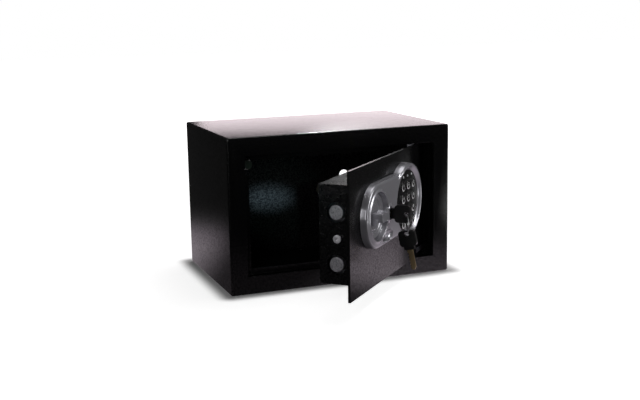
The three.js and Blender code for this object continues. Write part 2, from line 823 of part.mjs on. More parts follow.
const solenoidLow = boxBottom + boxWall + solenoidAboveFloor;
const solenoidHeight = (tailZ - solenoidLow) * solenoidHeightShare;
const solenoidHigh = solenoidLow + solenoidHeight;
const plungerIn = solenoidHeight * plungerInShare;
const plungerOut = (armLow + armHigh) / 2;
const plungerTop = tailZ - seatGap;
const collarHigh = plungerTop - collarBelowTop;

function plunger() {
  return join(
    barUp(plungerRadius, solenoidHigh - plungerIn, plungerTop, plungerS, plungerOut, smallSides),
    barUp(collarRadius, collarHigh - collarHeight, collarHigh, plungerS, plungerOut, smallSides),
  );
}

class Coil extends THREE.Curve {
  constructor(radius, low, high, turns) {
    super();
    Object.assign(this, { radius, low, high, turns });
  }
  getPoint(share, target = new THREE.Vector3()) {
    const turn = share * this.turns * 2 * Math.PI;
    const up = this.low + share * (this.high - this.low);
    return target.set(this.radius * Math.cos(turn), this.radius * Math.sin(turn), up);
  }
}

function plungerSpring() {
  const radius = plungerRadius + springClear + springWire;
  const low = solenoidHigh + seatGap + springWire;
  const high = collarHigh - collarHeight - seatGap - springWire;
  const wire = new THREE.Shape(
    Array.from({ length: springSides }, (_, i) => {
      const turn = (i / springSides) * 2 * Math.PI;
      return new THREE.Vector2(springWire * Math.cos(turn), springWire * Math.sin(turn));
    }),
  );
  const path = new Coil(radius, low, high, springTurns);
  const made = new THREE.ExtrudeGeometry(wire, {
    steps: springTurns * springSteps,
    extrudePath: path,
    bevelEnabled: false,
  });
  return made.translate(plungerS, -plungerOut, 0);
}

function addSolenoid(door) {
  const s = plungerS;
  const bore = solenoidHigh - plungerIn - plungerTravel - seatGap;
  const shell = cut(
    doorBox(
      s - solenoidWidth / 2,
      s + solenoidWidth / 2,
      plungerOut - solenoidDepth / 2,
      plungerOut + solenoidDepth / 2,
      solenoidLow,
      solenoidHigh,
    ),
    barUp(plungerRadius + seatGap, bore, bodyHeight, s, plungerOut, smallSides),
  );
  piece(door, "solenoid", shell, darkSteel);
  piece(door, "solenoid_plunger", plunger(), zincSteel);
  piece(door, "plunger_spring", plungerSpring(), zincSteel);
}

// The lock box: a steel tray over the works, with the battery hatch in its rear wall
const cellRadius = 7.2;
const cellLength = 50;
const cellNippleRadius = 2.6;
const cellNipple = 1.2;
const cellCount = 4;
const caseWall = 1.6;
const caseFloor = 2;
const caseClear = 0.4;
const caseFromRight = 36;
const hatchMargin = 2.2;
const coverOverlap = 5;
const coverThickness = 2.6;
const coverRib = 1;
const coverRibs = 4;
const coverRibPitch = 4;
const railThickness = 1.5;
const railLip = 3;
const resetRadius = 3.5;
const resetRise = 2.5;
const resetFromRight = 16;
const resetHeightShare = 0.187;

const caseS1 = boxRight - caseFromRight;
const caseS0 = caseS1 - cellLength - cellNipple - 2 * caseClear - 2 * caseWall;
const cellPitch = 2 * cellRadius + caseClear;
const caseHeight = cellCount * cellPitch + caseClear + 2 * caseWall;
const caseZ0 = (boxBottom + boxTop - caseHeight) / 2;
const caseZ1 = caseZ0 + caseHeight;
const caseRear = boxRear + boxWall + seatGap;
const caseFront = caseRear + 2 * cellRadius + 2 * caseClear + caseFloor;
const hatch = [caseS0 + hatchMargin, caseS1 - hatchMargin, caseZ0 + hatchMargin, caseZ1 - hatchMargin];
const coverS = [hatch[0] - coverOverlap, hatch[1] + coverOverlap];
const coverZ = [hatch[2] - coverOverlap, hatch[3] + coverOverlap];
const coverHigh = boxRear - seatGap;
const coverLow = coverHigh - coverThickness;
const resetS = boxRight - resetFromRight;
const resetZ = boxBottom + boxHeight * resetHeightShare;

// The tray's outline from the side: square at the front, rounded along its lower rear edge
function trayBlock(inset, low, high) {
  const outline = new THREE.Shape();
  const radius = boxRounding - inset;
  const [z0, z1] = [boxBottom + inset, boxTop - inset];
  outline.moveTo(-high, z1);
  outline.lineTo(-high, z0);
  outline.absarc(-low - radius, z0 + radius, radius, -Math.PI / 2, 0);
  outline.lineTo(-low, z1);
  const width = boxRight - boxLeft - 2 * inset;
  const how = { depth: width, bevelEnabled: false, curveSegments: arcFacets };
  const made = new THREE.ExtrudeGeometry(outline, how);
  const [right, back, up] = [0, 1, 2].map((axis) => new THREE.Vector3().setComponent(axis, 1));
  made.applyMatrix4(new THREE.Matrix4().makeBasis(back, up, right));
  return made.translate(boxLeft + inset, 0, 0);
}

function lockBox() {
  const rails = [
    [coverZ[1] + seatGap, 1],
    [coverZ[0] - seatGap, -1],
  ].flatMap(([edge, way]) => {
    const outer = edge + way * railThickness;
    const lipEdge = edge - way * railLip;
    const low = coverLow - seatGap - railThickness;
    const order = (a, b) => [Math.min(a, b), Math.max(a, b)];
    return [
      doorBox(...coverS, low, boxRear + boxWall / 2, ...order(edge, outer)),
      doorBox(...coverS, low, low + railThickness, ...order(lipEdge, outer)),
    ];
  });
  const holes = [
    ...Object.values(boltHeights).map((z) =>
      barAlong(boltHoleRadius, boxLeft - overrun, boxLeft + overrun, -boltBehindFace, z),
    ),
    guideScrewRoom(boxLeft, boxLeft),
    doorBox(hatch[0], hatch[1], boxRear - overrun, boxRear + overrun, hatch[2], hatch[3]),
    barOut(resetRadius + seatGap, boxRear - overrun, boxRear + overrun, resetS, resetZ, smallSides),
  ];
  const inside = trayBlock(boxWall, boxRear + boxWall, boxFront + overrun);
  const tray = cut(trayBlock(0, boxRear, boxFront), inside);
  return cut(join(tray, ...rails), ...holes);
}

function batteryCase() {
  const outer = doorBox(caseS0, caseS1, caseRear, caseFront, caseZ0, caseZ1);
  const inner = doorBox(
    caseS0 + caseWall,
    caseS1 - caseWall,
    caseRear - overrun,
    caseFront - caseFloor,
    caseZ0 + caseWall,
    caseZ1 - caseWall,
  );
  return cut(outer, inner);
}

function cell(index) {
  const z = caseZ0 + caseWall + caseClear + cellRadius + index * cellPitch;
  const out = caseFront - caseFloor - caseClear - cellRadius;
  const s0 = caseS0 + caseWall + caseClear;
  const can = [s0, s0 + cellLength];
  const nipple = [s0, s0 + cellLength + cellNipple];
  return join(
    barAlong(cellRadius, ...can, out, z, smallSides + smallSides / 2),
    barAlong(cellNippleRadius, ...nipple, out, z, smallSides),
  );
}

function batteryCover() {
  const plate = doorBox(...coverS, coverLow, coverHigh, ...coverZ);
  const ribs = Array.from({ length: coverRibs }, (_, i) => {
    const s = coverS[0] + (i + 1) * coverRibPitch;
    const margin = coverOverlap + railLip;
    const span = [coverZ[0] + margin, coverZ[1] - margin];
    return doorBox(s, s + coverRib, coverLow - coverRib, coverLow + coverRib, ...span);
  });
  return join(plate, ...ribs);
}

function resetButton() {
  const flangeLow = boxRear + boxWall + seatGap;
  return join(
    barOut(resetRadius, boxRear - resetRise, flangeLow + resetRise, resetS, resetZ, smallSides),
    barOut(resetRadius + caseWall, flangeLow, flangeLow + caseWall, resetS, resetZ, smallSides),
  );
}

function addLockBox(door) {
  piece(door, "lock_box", lockBox(), powderBlack);
  piece(door, "battery_case", batteryCase(), blackPlastic);
  for (let i = 0; i < cellCount; i++) piece(door, "battery_cell_" + (i + 1), cell(i), cellWrap);
  piece(door, "battery_cover", batteryCover(), blackPlastic);
  piece(door, "reset_button", resetButton(), buttonRed);
}

// The key lock: a barrel through panel and plate, a turning plug with a keyway, a nut and a cam
const barrelBack = -15;
const barrelFront = 10.2;
const plugRadius = 5.4;
const plugFront = 10.5;
const nutRadius = 12;
const nutThickness = 3;
const lockCamThickness = 2;
const lockCamLength = 24;
const lockCamWidth = 12;
const keywayHeight = 8.6;
const keywayWidth = 2.8;

// Keys: a flat blade in a moulded head; one stands in the lock and one hangs from it on a ring
const headLength = 19.5;
const headWidth = 21.5;
const headThickness = 5;
const headCorner = 4;
const headHoleRadius = 3;
const headHoleFromEnd = 4.6;
const collarLength = 4.4;
const collarWidth = 13;
const bladeLength = 25;
const bladeWidth = 7;
const bladeThickness = 2;
const bladeIn = 8;
const keyStandOff = 0.5;
const ringRadius = 11.2;
const ringWire = 0.7;
const ringSteps = 24;
const ringSides = 8;
const ringYaw = THREE.MathUtils.degToRad(30);
const hangTilt = THREE.MathUtils.degToRad(12);

const plugBack = barrelBack - seatGap - lockCamThickness - seatGap;
const keyHeadOut = plugFront + keyStandOff + collarLength;
const ringTopOut = keyHeadOut + headLength - headHoleFromEnd;
// The ring lies on the two rims of a head's hole, since it passes through aslant and bent
const ringAside = (headThickness / 2) * Math.tan(ringYaw);
const ringFall = ringRadius - Math.sqrt(ringRadius ** 2 - (headThickness / 2 / Math.cos(ringYaw)) ** 2);
const ringRest = Math.sqrt((headHoleRadius - ringWire - seatGap) ** 2 - ringAside ** 2) - ringFall;
const ringTopZ = lockZ - ringRest;
const ringCentreZ = ringTopZ - ringRadius;
const ringBottomZ = ringCentreZ - ringRadius;

function lockBarrel() {
  const tube = turned(
    [
      [plugRadius + seatGap, barrelBack],
      [barrelRadius, barrelBack],
      [barrelRadius, bossHeight],
      [barrelRadius - panelDraft / 2, bossHeight + seatGap],
      [plugRadius + seatGap, barrelFront],
      [plugRadius + seatGap, barrelBack],
    ],
    lockS,
    lockZ,
  );
  return tube;
}

function lockPlug() {
  const keyway = doorBox(
    lockS - keywayWidth / 2,
    lockS + keywayWidth / 2,
    plugFront - bladeLength - 2 * seatGap,
    plugFront + overrun,
    lockZ - keywayHeight / 2,
    lockZ + keywayHeight / 2,
  );
  return cut(barOut(plugRadius, plugBack, plugFront, lockS, lockZ), keyway);
}

function lockNut() {
  const back = -doorThickness - seatGap;
  return cut(
    barOut(nutRadius, back - nutThickness, back, lockS, lockZ, 6),
    barOut(barrelRadius + seatGap, back - nutThickness - overrun, back + overrun, lockS, lockZ),
  );
}

function lockCam() {
  const high = barrelBack - seatGap;
  const low = high - lockCamThickness;
  const outline = new THREE.Shape();
  const half = lockCamWidth / 2;
  outline.absarc(lockS, lockZ, plugRadius + half / 2, 0.12 * Math.PI, 0.88 * Math.PI, true);
  outline.lineTo(lockS - half, lockZ + lockCamLength);
  outline.lineTo(lockS + half, lockZ + lockCamLength);
  const bore = barOut(plugRadius + seatGap, low - overrun, high + overrun, lockS, lockZ);
  return cut(plateOut(outline, low, high), bore);
}

// A key drawn lying along s with its head from zero, in the plane of s and z
function keyHead() {
  const outline = roundedOutline(0, headLength, -headWidth / 2, headWidth / 2, headCorner);
  const made = solid(plateOut(outline, -headThickness / 2, headThickness / 2));
  const neckHalf = [bladeThickness, collarWidth / 2];
  const neck = doorBox(-collarLength, headCorner, -neckHalf[0], neckHalf[0], -neckHalf[1], neckHalf[1]);
  const holeAt = headLength - headHoleFromEnd;
  const hole = barOut(headHoleRadius, -headThickness, headThickness, holeAt, 0, smallSides);
  const bladeRoom = doorBox(
    -collarLength - overrun,
    bladeIn + seatGap,
    -bladeThickness / 2 - seatGap,
    bladeThickness / 2 + seatGap,
    -bladeWidth / 2 - seatGap,
    bladeWidth / 2 + seatGap,
  );
  return cut(join(made, neck), hole, bladeRoom);
}

function keyBlade() {
  const half = bladeWidth / 2;
  const tooth = bladeWidth / 5;
  const tip = -collarLength - bladeLength;
  const teeth = 5;
  const pitch = (bladeLength - bladeWidth) / teeth;
  const outline = new THREE.Shape();
  outline.moveTo(bladeIn, -half);
  outline.lineTo(bladeIn, half);
  outline.lineTo(tip + half, half);
  outline.lineTo(tip, half / 3);
  outline.lineTo(tip, -half / 3);
  outline.lineTo(tip + half, -half);
  for (let i = 0; i < teeth; i++) {
    const s = tip + half + i * pitch;
    outline.lineTo(s + pitch / 2, -half + tooth);
    outline.lineTo(s + pitch, -half);
  }
  return solid(plateOut(outline, -bladeThickness / 2, bladeThickness / 2));
}

// Key 1 stands out of the lock, its teeth up; its local s axis points out of the door
function placeInLock(shape) {
  return shape.rotate([0, 0, -90]).translate([lockS, -keyHeadOut, lockZ]);
}

// Key 2 hangs by its head from the foot of the ring, a little off plumb
function placeOnRing(shape) {
  const reach = headLength - headHoleFromEnd + ringRest;
  const hung = shape.translate([-reach, 0, 0]).rotate([0, -90, 0]).rotate([0, 0, 90]);
  const tilted = hung.rotate([THREE.MathUtils.radToDeg(-hangTilt), 0, 0]);
  return tilted.translate([lockS, -ringTopOut, ringBottomZ]);
}

function keyRing() {
  const geometry = new THREE.TorusGeometry(ringRadius, ringWire, ringSides, ringSteps);
  geometry.rotateX(Math.PI / 2).rotateZ(ringYaw);
  return geometry.translate(lockS, -ringTopOut, ringCentreZ);
}

function addKeyLock(door) {
  piece(door, "lock_barrel", lockBarrel(), darkSteel);
  piece(door, "lock_plug", lockPlug(), brassYellow);
  piece(door, "lock_nut", lockNut(), zincSteel);
  piece(door, "lock_cam", lockCam(), zincSteel);
  piece(door, "key_1_head", placeInLock(keyHead()), keyPlastic);
  piece(door, "key_1_blade", placeInLock(keyBlade()), brassYellow);
  piece(door, "key_ring", keyRing(), chromeBright);
  piece(door, "key_2_head", placeOnRing(keyHead()), keyPlastic);
  piece(door, "key_2_blade", placeOnRing(keyBlade()), brassYellow);
}

// The whole safe
const safe = new THREE.Group();
piece(safe, "body_shell", bodyShell(), powderBlack);
piece(safe, "back_panel", backPanel(), powderBlack);
piece(safe, "door_surround", doorSurround(), powderBlack);

const hinge = new THREE.Group();
hinge.position.set(hingeX, frontY + hingeBehindFace, 0);
hinge.rotation.z = openAngle;
const door = new THREE.Group();
door.position.set(-hingeFromFree, -hingeBehindFace, 0);
hinge.add(door);
safe.add(hinge);

piece(door, "door_plate", doorPlate(), powderBlack);
addHinge(door);
piece(door, "badge_plate", badge(), plateGrey);
piece(door, "control_panel", panelBezel(), silverPlastic);
screwPlaces.forEach((place, index) => piece(door, "panel_screw_" + (index + 1), panelScrew(place), zincSteel));
addKeypad(door);
addKnob(door);
addBolts(door);
addSolenoid(door);
addLockBox(door);
addKeyLock(door);

export default safe;
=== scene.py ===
"""A small electronic steel safe with its door ajar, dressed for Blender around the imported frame."""

import json
import math

import bmesh
import bpy
import numpy as np
from mathutils import Matrix, Vector
from mathutils.geometry import tessellate_polygon


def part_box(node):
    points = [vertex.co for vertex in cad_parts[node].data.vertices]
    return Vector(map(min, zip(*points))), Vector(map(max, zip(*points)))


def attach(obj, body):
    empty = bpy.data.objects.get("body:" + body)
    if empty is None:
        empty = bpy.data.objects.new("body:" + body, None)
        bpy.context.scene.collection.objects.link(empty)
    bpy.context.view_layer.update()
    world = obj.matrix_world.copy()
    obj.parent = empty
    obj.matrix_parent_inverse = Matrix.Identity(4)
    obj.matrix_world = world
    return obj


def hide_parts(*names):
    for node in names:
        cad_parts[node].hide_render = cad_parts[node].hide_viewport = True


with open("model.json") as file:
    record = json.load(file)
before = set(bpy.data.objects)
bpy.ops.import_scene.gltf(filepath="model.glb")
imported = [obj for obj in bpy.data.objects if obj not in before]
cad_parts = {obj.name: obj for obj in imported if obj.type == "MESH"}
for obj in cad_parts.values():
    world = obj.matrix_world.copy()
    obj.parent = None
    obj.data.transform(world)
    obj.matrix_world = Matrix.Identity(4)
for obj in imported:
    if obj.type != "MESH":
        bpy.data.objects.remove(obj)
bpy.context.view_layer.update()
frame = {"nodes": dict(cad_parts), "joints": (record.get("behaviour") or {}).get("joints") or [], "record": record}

mm = 0.001
scene = bpy.context.scene
nodes = frame["nodes"]
joints = {joint["name"]: joint for joint in frame["joints"]}


# Camera
# A studio camera about 1.4 m from the safe, to its left and a little above it.
# It has no shift and leans by less than a degree. It is meant for the photograph's frame, 640 by 400, which this
# script does not set.
camera_place = Vector((-0.4911, -1.2602, 0.3592))
camera_forward = Vector((0.36033, 0.91263, -0.19305))
camera_right = Vector((0.92885, -0.37011, -0.01592))
camera_lens = 56.23
camera_sensor = 36
camera_data = bpy.data.cameras.new("studio_camera")
camera_data.lens = camera_lens
camera_data.sensor_width = camera_sensor
camera = bpy.data.objects.new("studio_camera", camera_data)
scene.collection.objects.link(camera)
camera_up = camera_right.cross(camera_forward)
turn = Matrix((camera_right, camera_up, -camera_forward)).transposed().to_4x4()
camera.matrix_world = Matrix.Translation(camera_place) @ turn
scene.camera = camera


# Painted body: shell, back panel and door surround
# Folded and spot-welded 1.5 mm sheet steel, its black powder coat melted into a fine orange peel.
# Little powder reaches the bottom of the box, so the back panel's coat is duller and rougher.
def linear(hex_colour):
    """An sRGB hex colour as linear red, green, blue and alpha."""
    parts = [int(hex_colour[i : i + 2], 16) / 255 for i in (1, 3, 5)]
    return tuple(c / 12.92 if c <= 0.04045 else ((c + 0.055) / 1.055) ** 2.4 for c in parts) + (1.0,)


def add_node(owner, kind, links=None, **settings):
    """Adds one shader node: settings go on its properties or sockets, links are {input: output socket}."""
    node = owner.node_tree.nodes.new(kind)
    for name, value in settings.items():
        if hasattr(node, name):
            setattr(node, name, value)
        else:
            label = name.replace("_", " ").lower()
            next(socket for socket in node.inputs if socket.name.lower() == label).default_value = value
    for name, output in (links or {}).items():
        join(owner, output, node, name)
    return node


def join(owner, output, node, socket):
    """Joins an output to one of a node's inputs, which is given by its name or its number."""
    owner.node_tree.links.new(output, node.inputs[socket])


def new_material(name, **settings):
    """A material with one principled shader, its plain values set on the shader itself."""
    material = bpy.data.materials.new(name)
    material.use_nodes = True
    shader = material.node_tree.nodes["Principled BSDF"]
    for socket, value in settings.items():
        shader.inputs[socket.replace("_", " ")].default_value = value
    return material, shader


def object_place(material):
    """The Object coordinates, in metres, which ride with each piece."""
    return add_node(material, "ShaderNodeTexCoord").outputs["Object"]


def noise(material, place, size, **settings):
    """A noise pattern whose features are about one size apart."""
    node = add_node(material, "ShaderNodeTexNoise", {"Vector": place}, Scale=1 / size, **settings)
    return node.outputs["Fac"]


def colour_ramp(material, value, shares, colours):
    """Hex colours set at shares of a value's run from 0 to 1."""
    node = add_node(material, "ShaderNodeValToRGB", {"Fac": value})
    elements = node.color_ramp.elements
    while len(elements) < len(shares):
        elements.new(0.5)
    for element, share, colour in zip(elements, shares, colours):
        element.position = share
        element.color = linear(colour)
    return node.outputs["Color"]


def map_range(material, value, source, target, kind="LINEAR"):
    """A value carried from one range to another."""
    node = add_node(material, "ShaderNodeMapRange", {"Value": value}, interpolation_type=kind)
    node.inputs["From Min"].default_value, node.inputs["From Max"].default_value = source
    node.inputs["To Min"].default_value, node.inputs["To Max"].default_value = target
    return node.outputs["Result"]


def bump_from(material, shader, height, distance):
    """Joins a height pattern to the shader's normal through a bump of a real depth."""
    bump = add_node(material, "ShaderNodeBump", {"Height": height}, Strength=1.0, Distance=distance)
    join(material, bump.outputs["Normal"], shader, "Normal")


tint_shares = (0.3, 0.7)
slope_shares = (0.38, 0.62)
coat_blacks = ("#060607", "#0d0d0e")


def make_powder_coat(name, roughness, grain, depth, gleam):
    """Black powder coat: a surface of rounded peaks about one grain apart, which gleam more on top."""
    material, shader = new_material(name, Roughness=roughness)
    peel = noise(material, object_place(material), grain, Detail=2.0, Roughness=0.55)
    join(material, colour_ramp(material, peel, tint_shares, coat_blacks), shader, "Base Color")
    join(material, map_range(material, peel, slope_shares, gleam), shader, "Specular IOR Level")
    bump_from(material, shader, peel, depth)
    return material


coat_grain = 2.0 * mm
coat_depth = 0.11 * mm
thin_coat_depth = 0.24 * mm
coat_look = {"roughness": 0.18, "grain": coat_grain, "depth": coat_depth, "gleam": (0.14, 0.86)}
thin_look = {"roughness": 0.3, "grain": coat_grain, "depth": thin_coat_depth, "gleam": (0.1, 0.9)}
powder_coat = make_powder_coat("black_powder_coat", **coat_look)
thin_coat = make_powder_coat("thin_inner_powder_coat", **thin_look)

weld_distance = 0.01 * mm
fine_weld_distance = weld_distance / 4
flat_angle = math.radians(1)
edge_angle = math.radians(35)
folded_edge = 0.3 * mm
back_edge = 0.2 * mm


def give(piece, material):
    """Puts one material on all of a piece."""
    piece.data.materials.clear()
    piece.data.materials.append(material)
    for face in piece.data.polygons:
        face.material_index = 0


def eased(node, name, body, material, radius):
    """A CAD node's mesh, copied with doubles merged and flat faces joined, its edges then rounded."""
    work = bmesh.new()
    work.from_mesh(nodes[node].data)
    bmesh.ops.remove_doubles(work, verts=work.verts, dist=weld_distance)
    bmesh.ops.dissolve_limit(work, angle_limit=flat_angle, verts=work.verts, edges=work.edges)
    mesh = bpy.data.meshes.new(name)
    work.to_mesh(mesh)
    work.free()
    mesh.shade_smooth()
    mesh.set_sharp_from_angle(angle=edge_angle)
    piece = bpy.data.objects.new(name, mesh)
    scene.collection.objects.link(piece)
    give(piece, material)
    if radius:
        rounding = piece.modifiers.new("edge_rounding", "BEVEL")
        rounding.width = radius
        rounding.segments = 2
        rounding.limit_method = "ANGLE"
        rounding.angle_limit = edge_angle
        rounding.harden_normals = True
        rounding.use_clamp_overlap = True
    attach(piece, body)
    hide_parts(node)


eased("body_shell", "painted_shell", "safe", powder_coat, folded_edge)
eased("back_panel", "painted_back", "safe", thin_coat, back_edge)
eased("door_surround", "painted_surround", "safe", powder_coat, folded_edge)


# Seam of the back panel, and painted shade in its anchor holes
# A weld bead closes the joint between the back panel and the shell, painted over with the rest.
# Two of the three anchor holes hold dim grey discs that paint the shade seen through them; the third is open.
def grid_faces(rows, columns, wrap_rows, wrap_columns, first=0):
    """Quads of a grid of points; either way may wrap round."""
    row_places = np.arange(rows - (not wrap_rows))
    column_places = np.arange(columns - (not wrap_columns))
    i, j = np.meshgrid(row_places, column_places, indexing="ij")
    i2, j2 = (i + 1) % rows, (j + 1) % columns
    corners = np.stack([i * columns + j, i2 * columns + j, i2 * columns + j2, i * columns + j2], axis=-1)
    return (corners.reshape(-1, 4) + first).tolist()


class Shape:
    """Surfaces gathered into one mesh."""

    def __init__(self):
        self.points, self.faces, self.count = [], [], 0

    def grid(self, points, wrap_rows=False, wrap_columns=False):
        """Adds a grid of points with quads between them."""
        rows, columns = points.shape[:2]
        self.faces += grid_faces(rows, columns, wrap_rows, wrap_columns, self.count)
        return self.add(points.reshape(-1, 3))

    def cap(self, points, faces):
        """Adds points with faces given by their numbers."""
        self.faces += [[self.count + corner for corner in face] for face in faces]
        return self.add(points)

    def add(self, points):
        """Adds points after their faces."""
        self.points.append(points)
        self.count += len(points)
        return self


def make_piece(name, shape, body, material, replaced=()):
    """A finished piece from gathered surfaces: welded, shaded smooth, riding on its body."""
    mesh = bpy.data.meshes.new(name)
    mesh.from_pydata(np.concatenate(shape.points).tolist(), [], shape.faces)
    work = bmesh.new()
    work.from_mesh(mesh)
    bmesh.ops.remove_doubles(work, verts=work.verts, dist=fine_weld_distance)
    bmesh.ops.dissolve_degenerate(work, dist=fine_weld_distance, edges=work.edges)
    work.to_mesh(mesh)
    work.free()
    mesh.shade_smooth()
    mesh.set_sharp_from_angle(angle=edge_angle)
    piece = bpy.data.objects.new(name, mesh)
    scene.collection.objects.link(piece)
    give(piece, material)
    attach(piece, body)
    if replaced:
        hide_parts(*replaced)


def circle_angles(steps):
    """Evenly spaced angles once round a circle."""
    return np.linspace(0.0, 2 * np.pi, steps, endpoint=False)


def arrays(corners):
    """A box's lowest and highest corner as arrays."""
    return [np.array(corner) for corner in corners]


def seam_bead(half, low, high, corner, depth, radius, steps=5, sides=14):
    """A round bead along a rounded rectangle: middle line (x, z) = corner centre + corner (cos a, sin a)."""
    side = half - corner
    centres = [(side, high - corner), (-side, high - corner), (-side, low + corner), (side, low + corner)]
    quarter = np.linspace(0.0, np.pi / 2, steps)
    turn = np.concatenate([quarter + k * np.pi / 2 for k in range(4)])
    centre = np.repeat(np.array(centres), steps, axis=0)
    round_it = circle_angles(sides)[None, :]
    reach = corner + radius * np.cos(round_it)
    x = centre[:, :1] + reach * np.cos(turn)[:, None]
    z = centre[:, 1:] + reach * np.sin(turn)[:, None]
    return np.stack([x, depth + radius * np.sin(round_it) + 0 * x, z], axis=-1)


back_low, back_high = arrays(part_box("back_panel"))
seam_gap = 0.2 * mm
seam_corner = 1.8 * mm
seam_radius = 1.3 * mm
seam_places = seam_bead(
    half=back_high[0] + seam_gap,
    low=back_low[2] - seam_gap,
    high=back_high[2] + seam_gap,
    corner=seam_corner,
    depth=back_low[1],
    radius=seam_radius,
)
seam = Shape().grid(seam_places, wrap_rows=True, wrap_columns=True)
make_piece("painted_back_seam", seam, "safe", powder_coat)

shade_disc_radius = 7.1 * mm
shade_disc_height = 1.4 * mm
shade_disc_rim = 0.5 * mm
shade_disc_sink = 0.1 * mm


def hole_plug(middle, steps=48, rim_steps=6):
    """A flat disc with a rounded rim, coloured as painted shade: its profile turned about the hole's middle line,
    along y.
    """
    face = [(0.0, shade_disc_height), (shade_disc_radius / 2, shade_disc_height)]
    rim = [
        (shade_disc_radius - shade_disc_rim + shade_disc_rim * math.sin(a), shade_disc_height - shade_disc_rim + shade_disc_rim * math.cos(a))
        for a in np.linspace(0.0, np.pi / 2, rim_steps)
    ]
    reach, rise = np.array(face + rim + [(shade_disc_radius, 0.0), (0.0, 0.0)]).T
    angle = circle_angles(steps)[:, None]
    x = middle[0] + reach * np.cos(angle)
    z = middle[2] + reach * np.sin(angle)
    return Shape().grid(np.stack([x, middle[1] - rise + 0 * angle, z], axis=-1), wrap_rows=True)


# A dim grey-green paints the shade seen through two anchor holes.
shade_disc_plastic = new_material("dim_painted_shade_plastic", Roughness=0.5, Base_Color=linear("#45463d"))[0]
openings = frame["record"]["physics"]["openings"]
opening_boxes = {opening["name"]: np.array(opening["box_m"]) for opening in openings}
for number in (1, 2):
    hole_middle = opening_boxes[f"anchor_hole_{number}"].mean(axis=0)
    hole_middle[1] = back_high[1] - shade_disc_sink
    shade_disc = hole_plug(hole_middle)
    make_piece(f"anchor_hole_shade_disc_{number}", shade_disc, "safe", shade_disc_plastic)


# Door plate and its hinge
# A laser-cut 3 mm steel plate, powder coated like the body, with crisp edges.
# It swings on two pins that turn in welded blocks of bare rolled steel.
door_edge = 0.35 * mm
wear_spread = 0.08
eased("door_plate", "painted_door", "door", powder_coat, door_edge)


def make_steel(name, colours, roughness, cloud=9 * mm, grain=0.8 * mm, depth=0.02 * mm):
    """Bare or plated steel: faint clouds of scale, in colour and in roughness, under a fine grain."""
    material, shader = new_material(name, Metallic=1.0)
    place = object_place(material)
    clouds = noise(material, place, cloud, Detail=4.0)
    join(material, colour_ramp(material, clouds, tint_shares, colours), shader, "Base Color")
    wear = map_range(material, clouds, (0, 1), (roughness - wear_spread, roughness + wear_spread))
    join(material, wear, shader, "Roughness")
    bump_from(material, shader, noise(material, place, grain, Detail=3.0), depth)
    return material


rolled_steel = make_steel("rolled_steel", ("#5b5c60", "#77777c"), roughness=0.48)
zinc_plate = make_steel("zinc_plated_steel", ("#8f8e94", "#b5b4ba"), roughness=0.34)
for node in ("hinge_block_bottom", "hinge_block_top", "knob_cam", "bolt_carriage", "bolt_guide", "solenoid"):
    give(nodes[node], rolled_steel)
for node in ("hinge_pin_bottom", "hinge_pin_top", "knob_shaft", "solenoid_plunger", "lock_nut", "lock_cam"):
    give(nodes[node], zinc_plate)
for number in (1, 2, 3):
    give(nodes[f"panel_screw_{number}"], zinc_plate)


# Lock box, its battery cover and the reset button
# A pressed steel tray over the works, powder coated, its cover a ribbed black moulding.
# The coat lies thicker here than on the door, so its peel is deeper.
thick_coat_grain = 1.8 * mm
thick_coat_depth = 0.24 * mm
tray_edge = 0.5 * mm
cover_edge = 0.3 * mm
thick_look = {"roughness": 0.17, "grain": thick_coat_grain, "depth": thick_coat_depth, "gleam": (0.0, 0.9)}
thick_coat = make_powder_coat("thick_black_powder_coat", **thick_look)
eased("lock_box", "painted_lock_box", "door", thick_coat, tray_edge)


def make_moulding(name, colour, roughness, grain=0.5 * mm, depth=0.012 * mm):
    """Moulded plastic with a fine spark-eroded grain."""
    material, shader = new_material(name, Base_Color=linear(colour), Roughness=roughness, IOR=1.5)
    bump_from(material, shader, noise(material, object_place(material), grain, Detail=2.0), depth)
    return material


black_abs = make_moulding("black_abs", "#111114", roughness=0.38)
button_red = make_moulding("red_abs", "#b3201c", roughness=0.4)
eased("battery_cover", "ribbed_battery_cover", "cover", black_abs, cover_edge)
eased("reset_button", "reset_button_cap", "reset", button_red, cover_edge)
give(nodes["battery_case"], black_abs)


# Bolts and the guide screw
# Solid round bar, turned and zinc plated, with a sawn and lightly sanded end face.
# The screw between them has a pan head.
patch_shares = (0.35, 0.68)
squeeze = (1.0, 1.0, 6.0)
slant = (0.6, 0.5, 0.0)


def make_bar_end(name, colours, roughness, patch=2.2 * mm, scratch=1.4 * mm, depth=0.06 * mm):
    """Plated bar: fine sanding scratches over brighter and duller patches."""
    material, shader = new_material(name, Metallic=0.85, Roughness=roughness)
    place = object_place(material)
    patches = noise(material, place, patch, Detail=5.0, Roughness=0.65)
    join(material, colour_ramp(material, patches, patch_shares, colours), shader, "Base Color")
    sanded = add_node(material, "ShaderNodeMapping", {"Vector": place}, Scale=squeeze, Rotation=slant)
    scratches = noise(material, sanded.outputs["Vector"], scratch, Detail=3.0)
    bump_from(material, shader, scratches, depth)
    return material


bar_edge = 0.5 * mm
screw_edge = 0.4 * mm
bar_end = make_bar_end("sanded_zinc_bar", ("#6f6e73", "#aeadb2"), roughness=0.42)
for side in ("upper", "lower"):
    eased(f"bolt_{side}", f"bolt_bar_{side}", "bolts", bar_end, bar_edge)
bright_zinc = make_steel("bright_zinc_screw", ("#dcdbe1", "#f2f1f5"), roughness=0.36)
eased("guide_screw", "guide_screw_head", "door", bright_zinc, screw_edge)


# Control panel
# One silver-painted ABS moulding: a flat bridge with a round end, a larger round head,
# a well for the knob with a raised ring, a cone for the key lock and a finger hollow.
along = -Vector(joints["bolts_slide"]["axis"])
out_of_door = Vector(joints["knob_turn"]["axis"])
knob_place = Vector(joints["knob_turn"]["pos_m"])
lock_place = Vector(joints["key_turn"]["pos_m"])


